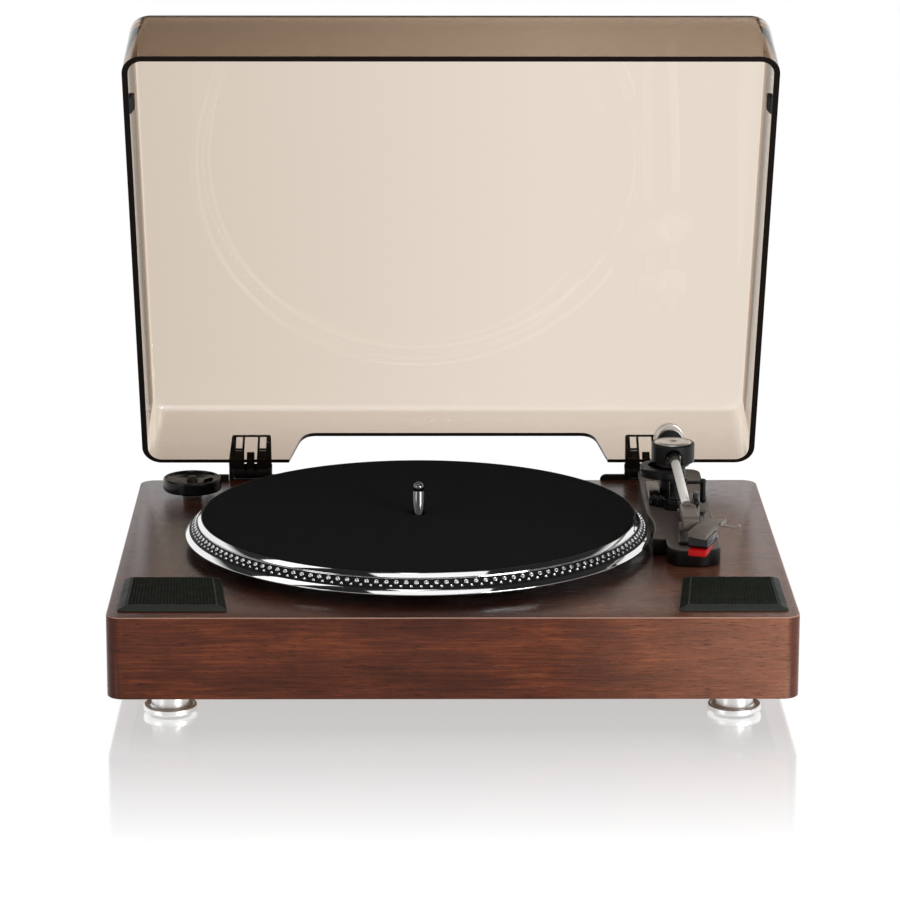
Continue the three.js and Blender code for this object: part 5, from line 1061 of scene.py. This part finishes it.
def build_head():
    dressed("headshell", "arm", GREY, 0.35, "head_shell", "grey_plastic")
    z = 0.9 - 1.35
    path = smooth_path([(7.5, 25, z), (11.7, 24.6, z - 0.8), (17.1, 23.8, z - 0.8), (19.5, 23.5, z + 0.8)], 8)
    bm = tube(blank(), path, [0.95] * 6 + [0.8] * (len(path) - 10) + [0.85, 1.1, 1.15, 0.6], 14)
    slab(bm, rounded(1.8, 4.5, 0.4, 4, 7.5, 25), z - 0.9, z + 0.9, 0.25, 2)
    on_head(bm, "finger_hook", ROD, "finger_lift", "grey_plastic", smooth=50)

    top, width = -2.9, 12.2
    low = top - 6.8
    side = [(-2.6, low + 1.6), (-1.0, low), (17.4, low), (19, low + 1.6), (19, top), (-2.6, top)]
    bm = slab(blank(), filleted(side, 0.5, 3), -width / 2, width / 2, 0.5, 3, sideways)
    for k in (-1, 1):
        slab(bm, rounded(1.6, 12, 0.5, 4, k * 5.6, 8), low + 2.4, low + 3.2, 0.2, 2)
        turned(bm, filleted(pin(1.5, top - 1, 0.6), 0.3, 3, False), (k * 3.6, 12.5, 0), 24)
    on_head(bm, "cartridge_body", GLOSS, "cartridge", "black_gloss", smooth=35)

    bm = blank()
    for k, x in enumerate((-3.9, -1.3, 1.3, 3.9)):
        z = low + 2.2 + 0.5 * (k % 2)
        tube(bm, [(x, 18.6, z), (x, 21.6, z)], 0.32, 8)
        path = [(x, 21.4, low + 2.2), (x + 0.6, 25, low + 1.2), (x * 0.7, 29, low + 2.6), (x * 0.4, 33, -3.4)]
        tube(bm, smooth_path(path, 6), 0.42, 8)
    on_head(bm, "signal_wires", STEEL, None, "steel", smooth=60)

    top = low - 0.3
    low = top - 4.4
    side = [(-4.4, low + 0.4), (-3.9, low), (2, low), (13, low + 2), (13, top), (-4.4, top)]
    bm = slab(blank(), filleted(side, 0.4, 3), -5.6, 5.6, 0.7, 3, sideways)
    on_head(bm, "stylus_grip", RED, "stylus_assembly", "stylus_red", smooth=35)
    bm = tube(blank(), [(0, 3.4, low - 0.1), (0, 1.0, low - 0.4), (0, -0.3, low - 0.75)], [0.42, 0.3, 0.24], 10)
    tip = -15.9
    turned(bm, [(0, tip), (0.16, tip + 0.35), (0.22, low - 0.6), (0, low - 0.5)], (0, 0, 0), 10)
    on_head(bm, "needle", STEEL, None, "steel", smooth=60)


def build_controls():
    top = 36.2
    bm = slab(blank(), filleted(band(29.5, 34.5, -132, -81, ARM), 1.2, 3), top - 1.6, top, 0.4, 3)
    turned(bm, filleted(pin(2, 17.3, top - 0.8), 0.3, 2, False), LIFT, 32)
    finished(bm, "lift_bar", "lift", BLACK, "lift_platform", "black_plastic", smooth=40)

    spot = (165.7, 52, LEVER_Z)
    bm = turned(blank(), filleted(pin(1.1, -15.7, 0.5), 0.2, 2, False), spot, 24, "x")
    handle = [
        (0, -14), (0.8, -13.9), (1.5, -13.4), (2.0, -12.4), (2.1, -11.0), (1.9, -8), (1.75, -4), (1.9, -0.5),
        (2.1, 1.0), (1.6, 2.0), (0.8, 2.45), (0, 2.5),
    ]
    turned(bm, handle, spot, 32)
    finished(bm, "cue_handle", "lever", GLOSS, "cue_lever", "black_gloss", smooth=50)
    dressed("arm_rest", "chassis", SATIN, 0.35, "rest_post", "satin_black")
    dressed("rest_clip", "clip", BLACK, 0.25, "rest_hook", "black_plastic")


# ---- rear


def build_rear():
    back, knob_x, dc_x = PLINTH_D / 2 + GAP, 48.5, -8.5
    jacks = (("right", 29.5, JACK_RED, "jack_red"), ("left", 10.5, JACK_WHITE, "jack_white"))

    def outward(x, z, y):
        return Vector((x, -y, z))

    bm = slab(blank(), rounded(104, 30, 2, 6, JACKS_X, JACKS_Z), -back - 2, -back, 0.4, 3, outward)
    holes = [(knob_x, 3.3), *[(x, 4.5) for _, x, _, _ in jacks], (dc_x, 5.3)]
    bm = carved(bm, *[rod(r, -4, 6, (x, back, JACKS_Z), 40, "y") for x, r in holes])
    finished(bm, "rear_plate", "chassis", BLACK, "jack_panel", "black_plastic", smooth=32)

    bm, count, rows, centre = blank(), 96, [], Vector((knob_x, back, JACKS_Z))
    knob = [
        (0, -12), (3, -12), (3, 2.3), (7.2, 2.3), (7.9, 3.0), (7.5, 13.5), (6.9, 14.3), (5.4, 14.3), (4.8, 13.9),
        (0, 13.9),
    ]
    for r, d in knob:
        if r == 0:
            rows.append([bm.verts.new(spun(0, 0, d, centre, "y"))] * count)
            continue
        angles = [2 * math.pi * k / count for k in range(count)]
        flute = 0.35 if r > 6.8 else 0
        rows.append([bm.verts.new(spun(r - flute * max(0, math.cos(a * 24)), a, d, centre, "y")) for a in angles])
    loop_faces(bm, rows)
    mark = rounded(0.9, 3.2, 0.4, 4, knob_x, -20.3)
    merged(bm, slab(blank(), mark, -back - 14.5, -back - 13.6, 0.1, 1, outward))
    knob = finished(bm, "volume_dial", "volume", [BLACK, JACK_WHITE], "volume_knob", "black_plastic", smooth=50)
    paint(knob, 1, lambda at, normal: at.z > -22.3 and abs(at.x - knob_x) < 0.8 and at.y > back + 13.95)

    body = [
        (0, -14), (4.2, -14), (4.2, 2.3), (6, 2.3), (6, 4.3), (4.2, 4.3), (4.2, 5.0), (2.1, 5.0), (2.1, 2.3),
        (0, 2.3),
    ]
    sleeve = [(2.1, 5.0), (4.2, 5.0), (4.2, 8.7), (3.9, 9.0), (2.4, 9.0), (2.1, 8.7)]
    for side, x, colour, slot in jacks:
        spot = (x, back, JACKS_Z)
        bm = turned(blank(), filleted(body, 0.25, 2, False), spot, 48, "y")
        turned(bm, sleeve, spot, 48, "y", True)
        jack = finished(bm, f"phono_socket_{side}", "chassis", [colour, STEEL], f"phono_jack_{side}", slot, 40)
        paint(jack, 1, lambda at, normal: at.y > back + 4.95)
    dc = [(0, -14), (5, -14), (5, 3), (4.6, 3.3), (3.5, 3.3), (3.5, -7), (1.25, -7), (1.25, 0), (0, 0)]
    bm = turned(blank(), filleted(dc, 0.2, 2, False), (dc_x, back, JACKS_Z), 48, "y")
    finished(bm, "supply_socket", "chassis", GLOSS, "dc_socket", "black_gloss", smooth=40)


def carried_over():
    """Materials of the CAD nodes that stay as they are."""
    kept = {
        CONE: ("speaker_driver_left", "speaker_driver_right"),
        BRASS: ("bearing_sleeve", "motor_pulley"),
        STEEL: ("motor", "hinge_pin_left", "hinge_pin_right", "pivot_axle"),
        RUBBER: ("drive_belt",),
        CIRCUIT: ("main_board",),
    }
    for material, nodes in kept.items():
        for node in nodes:
            for one in bpy.data.objects[node].material_slots:
                one.material = material


# ---- scene


def build_stage():
    """A white floor that shines by itself, with a polish that fades away in front of the plinth."""
    reach = 9000.0
    bm = blank()
    corners = box_line(-reach, -reach, reach, reach)
    bm.faces.new([bm.verts.new((x, y, FLOOR_Z)) for x, y in corners])
    data = to_data(bm, "floor")
    data.transform(PLACE)
    n = Nodes("pale_floor")
    glow = {"Specular_IOR_Level": 0.0, "Emission_Strength": 0.96, "Emission_Color": (1, 1, 1, 1)}
    n.finish((0.08, 0.08, 0.08), 0.5, **glow)
    polish = n.add("BsdfGlossy", Color=(1, 1, 1, 1), Roughness=0.1).outputs[0]
    share = n.span(n.split(n.place())["Y"], -400.0, -190.0, 0.02, 0.45)
    both = n.add("MixShader", i0=share, i1=n.shader.outputs[0], i2=polish).outputs[0]
    n.set(n.output, "Surface", both)
    data.materials.append(n.block)
    linked("floor", data)


def lamp(name, size, power, spot, target=(0, 0, 0.12)):
    """A soft box, in metres and watts."""
    data = bpy.data.lights.new(name, "AREA")
    data.shape = "RECTANGLE"
    data.size, data.size_y = size
    data.energy = power
    light = linked(name, data)
    light.location = spot
    light.rotation_euler = (Vector(target) - Vector(spot)).to_track_quat("-Z", "Y").to_euler()


def build_light():
    """A bright band round the horizon, brightest behind, under a dark ceiling, and six soft boxes."""
    n = Nodes("studio", world=True)
    bpy.context.scene.world = n.block
    _, y, z = n.split(n.add("TexCoord").outputs["Generated"])
    level = n.times(n.span(y, -0.9, 0.5, 0.35, 1.04), n.span(z, 0.42, 0.52, 1.0, 0.03))
    n.set(n.shader, "Color", (1, 1, 1, 1))
    n.set(n.shader, "Strength", level)
    lamp("front_overhead", (1.2, 0.5), 2.2, (0.1, -0.75, 1.5))
    lamp("front_strip", (1.5, 0.16), 2.0, (0.25, -1.45, 0.95), (0.1, 0.1, 0.15))
    lamp("overhead", (0.8, 0.4), 2, (0.1, -0.15, 1.4))
    lamp("left_high", (0.4, 0.9), 1.7, (-0.85, -0.05, 1.2))
    lamp("right_box", (0.5, 0.5), 9, (0.75, -0.85, 0.45), (0.12, -0.18, 0.06))
    lamp("left_box", (0.4, 0.6), 3, (-1.1, -0.9, 0.6), (0, -0.1, 0.06))


def build_camera():
    """The photograph's camera, as fitted: its angles, its focal length in pixels and its place."""
    yaw, pitch, roll = math.radians(0.56), math.radians(14.09), math.radians(-0.11)
    focal, width, sensor, spot = 3918.8, 900, 36, Vector((-24.35, -2430.3, 672.6))
    ahead = Vector((math.sin(yaw) * math.cos(pitch), math.cos(yaw) * math.cos(pitch), -math.sin(pitch)))
    right = Vector((math.cos(yaw), -math.sin(yaw), 0))
    down = ahead.cross(right)
    level = right * math.cos(roll) + down * math.sin(roll)
    under = -right * math.sin(roll) + down * math.cos(roll)
    data = bpy.data.cameras.new("camera")
    data.sensor_width = sensor
    data.lens = focal * sensor / width
    data.clip_end = 100
    camera = linked("camera", data)
    turn = Matrix((level, -under, -ahead)).transposed().to_4x4()
    camera.matrix_world = Matrix.Translation((spot + ORIGIN) * MM) @ turn
    bpy.context.scene.camera = camera


build_camera()
build_plinth()
build_grilles()
build_platter()
build_adapter()
build_cover()
build_base()
build_pivot()
build_arm()
build_head()
build_controls()
build_rear()
carried_over()
build_stage()
build_light()
bpy.context.scene.view_settings.view_transform = "Standard"
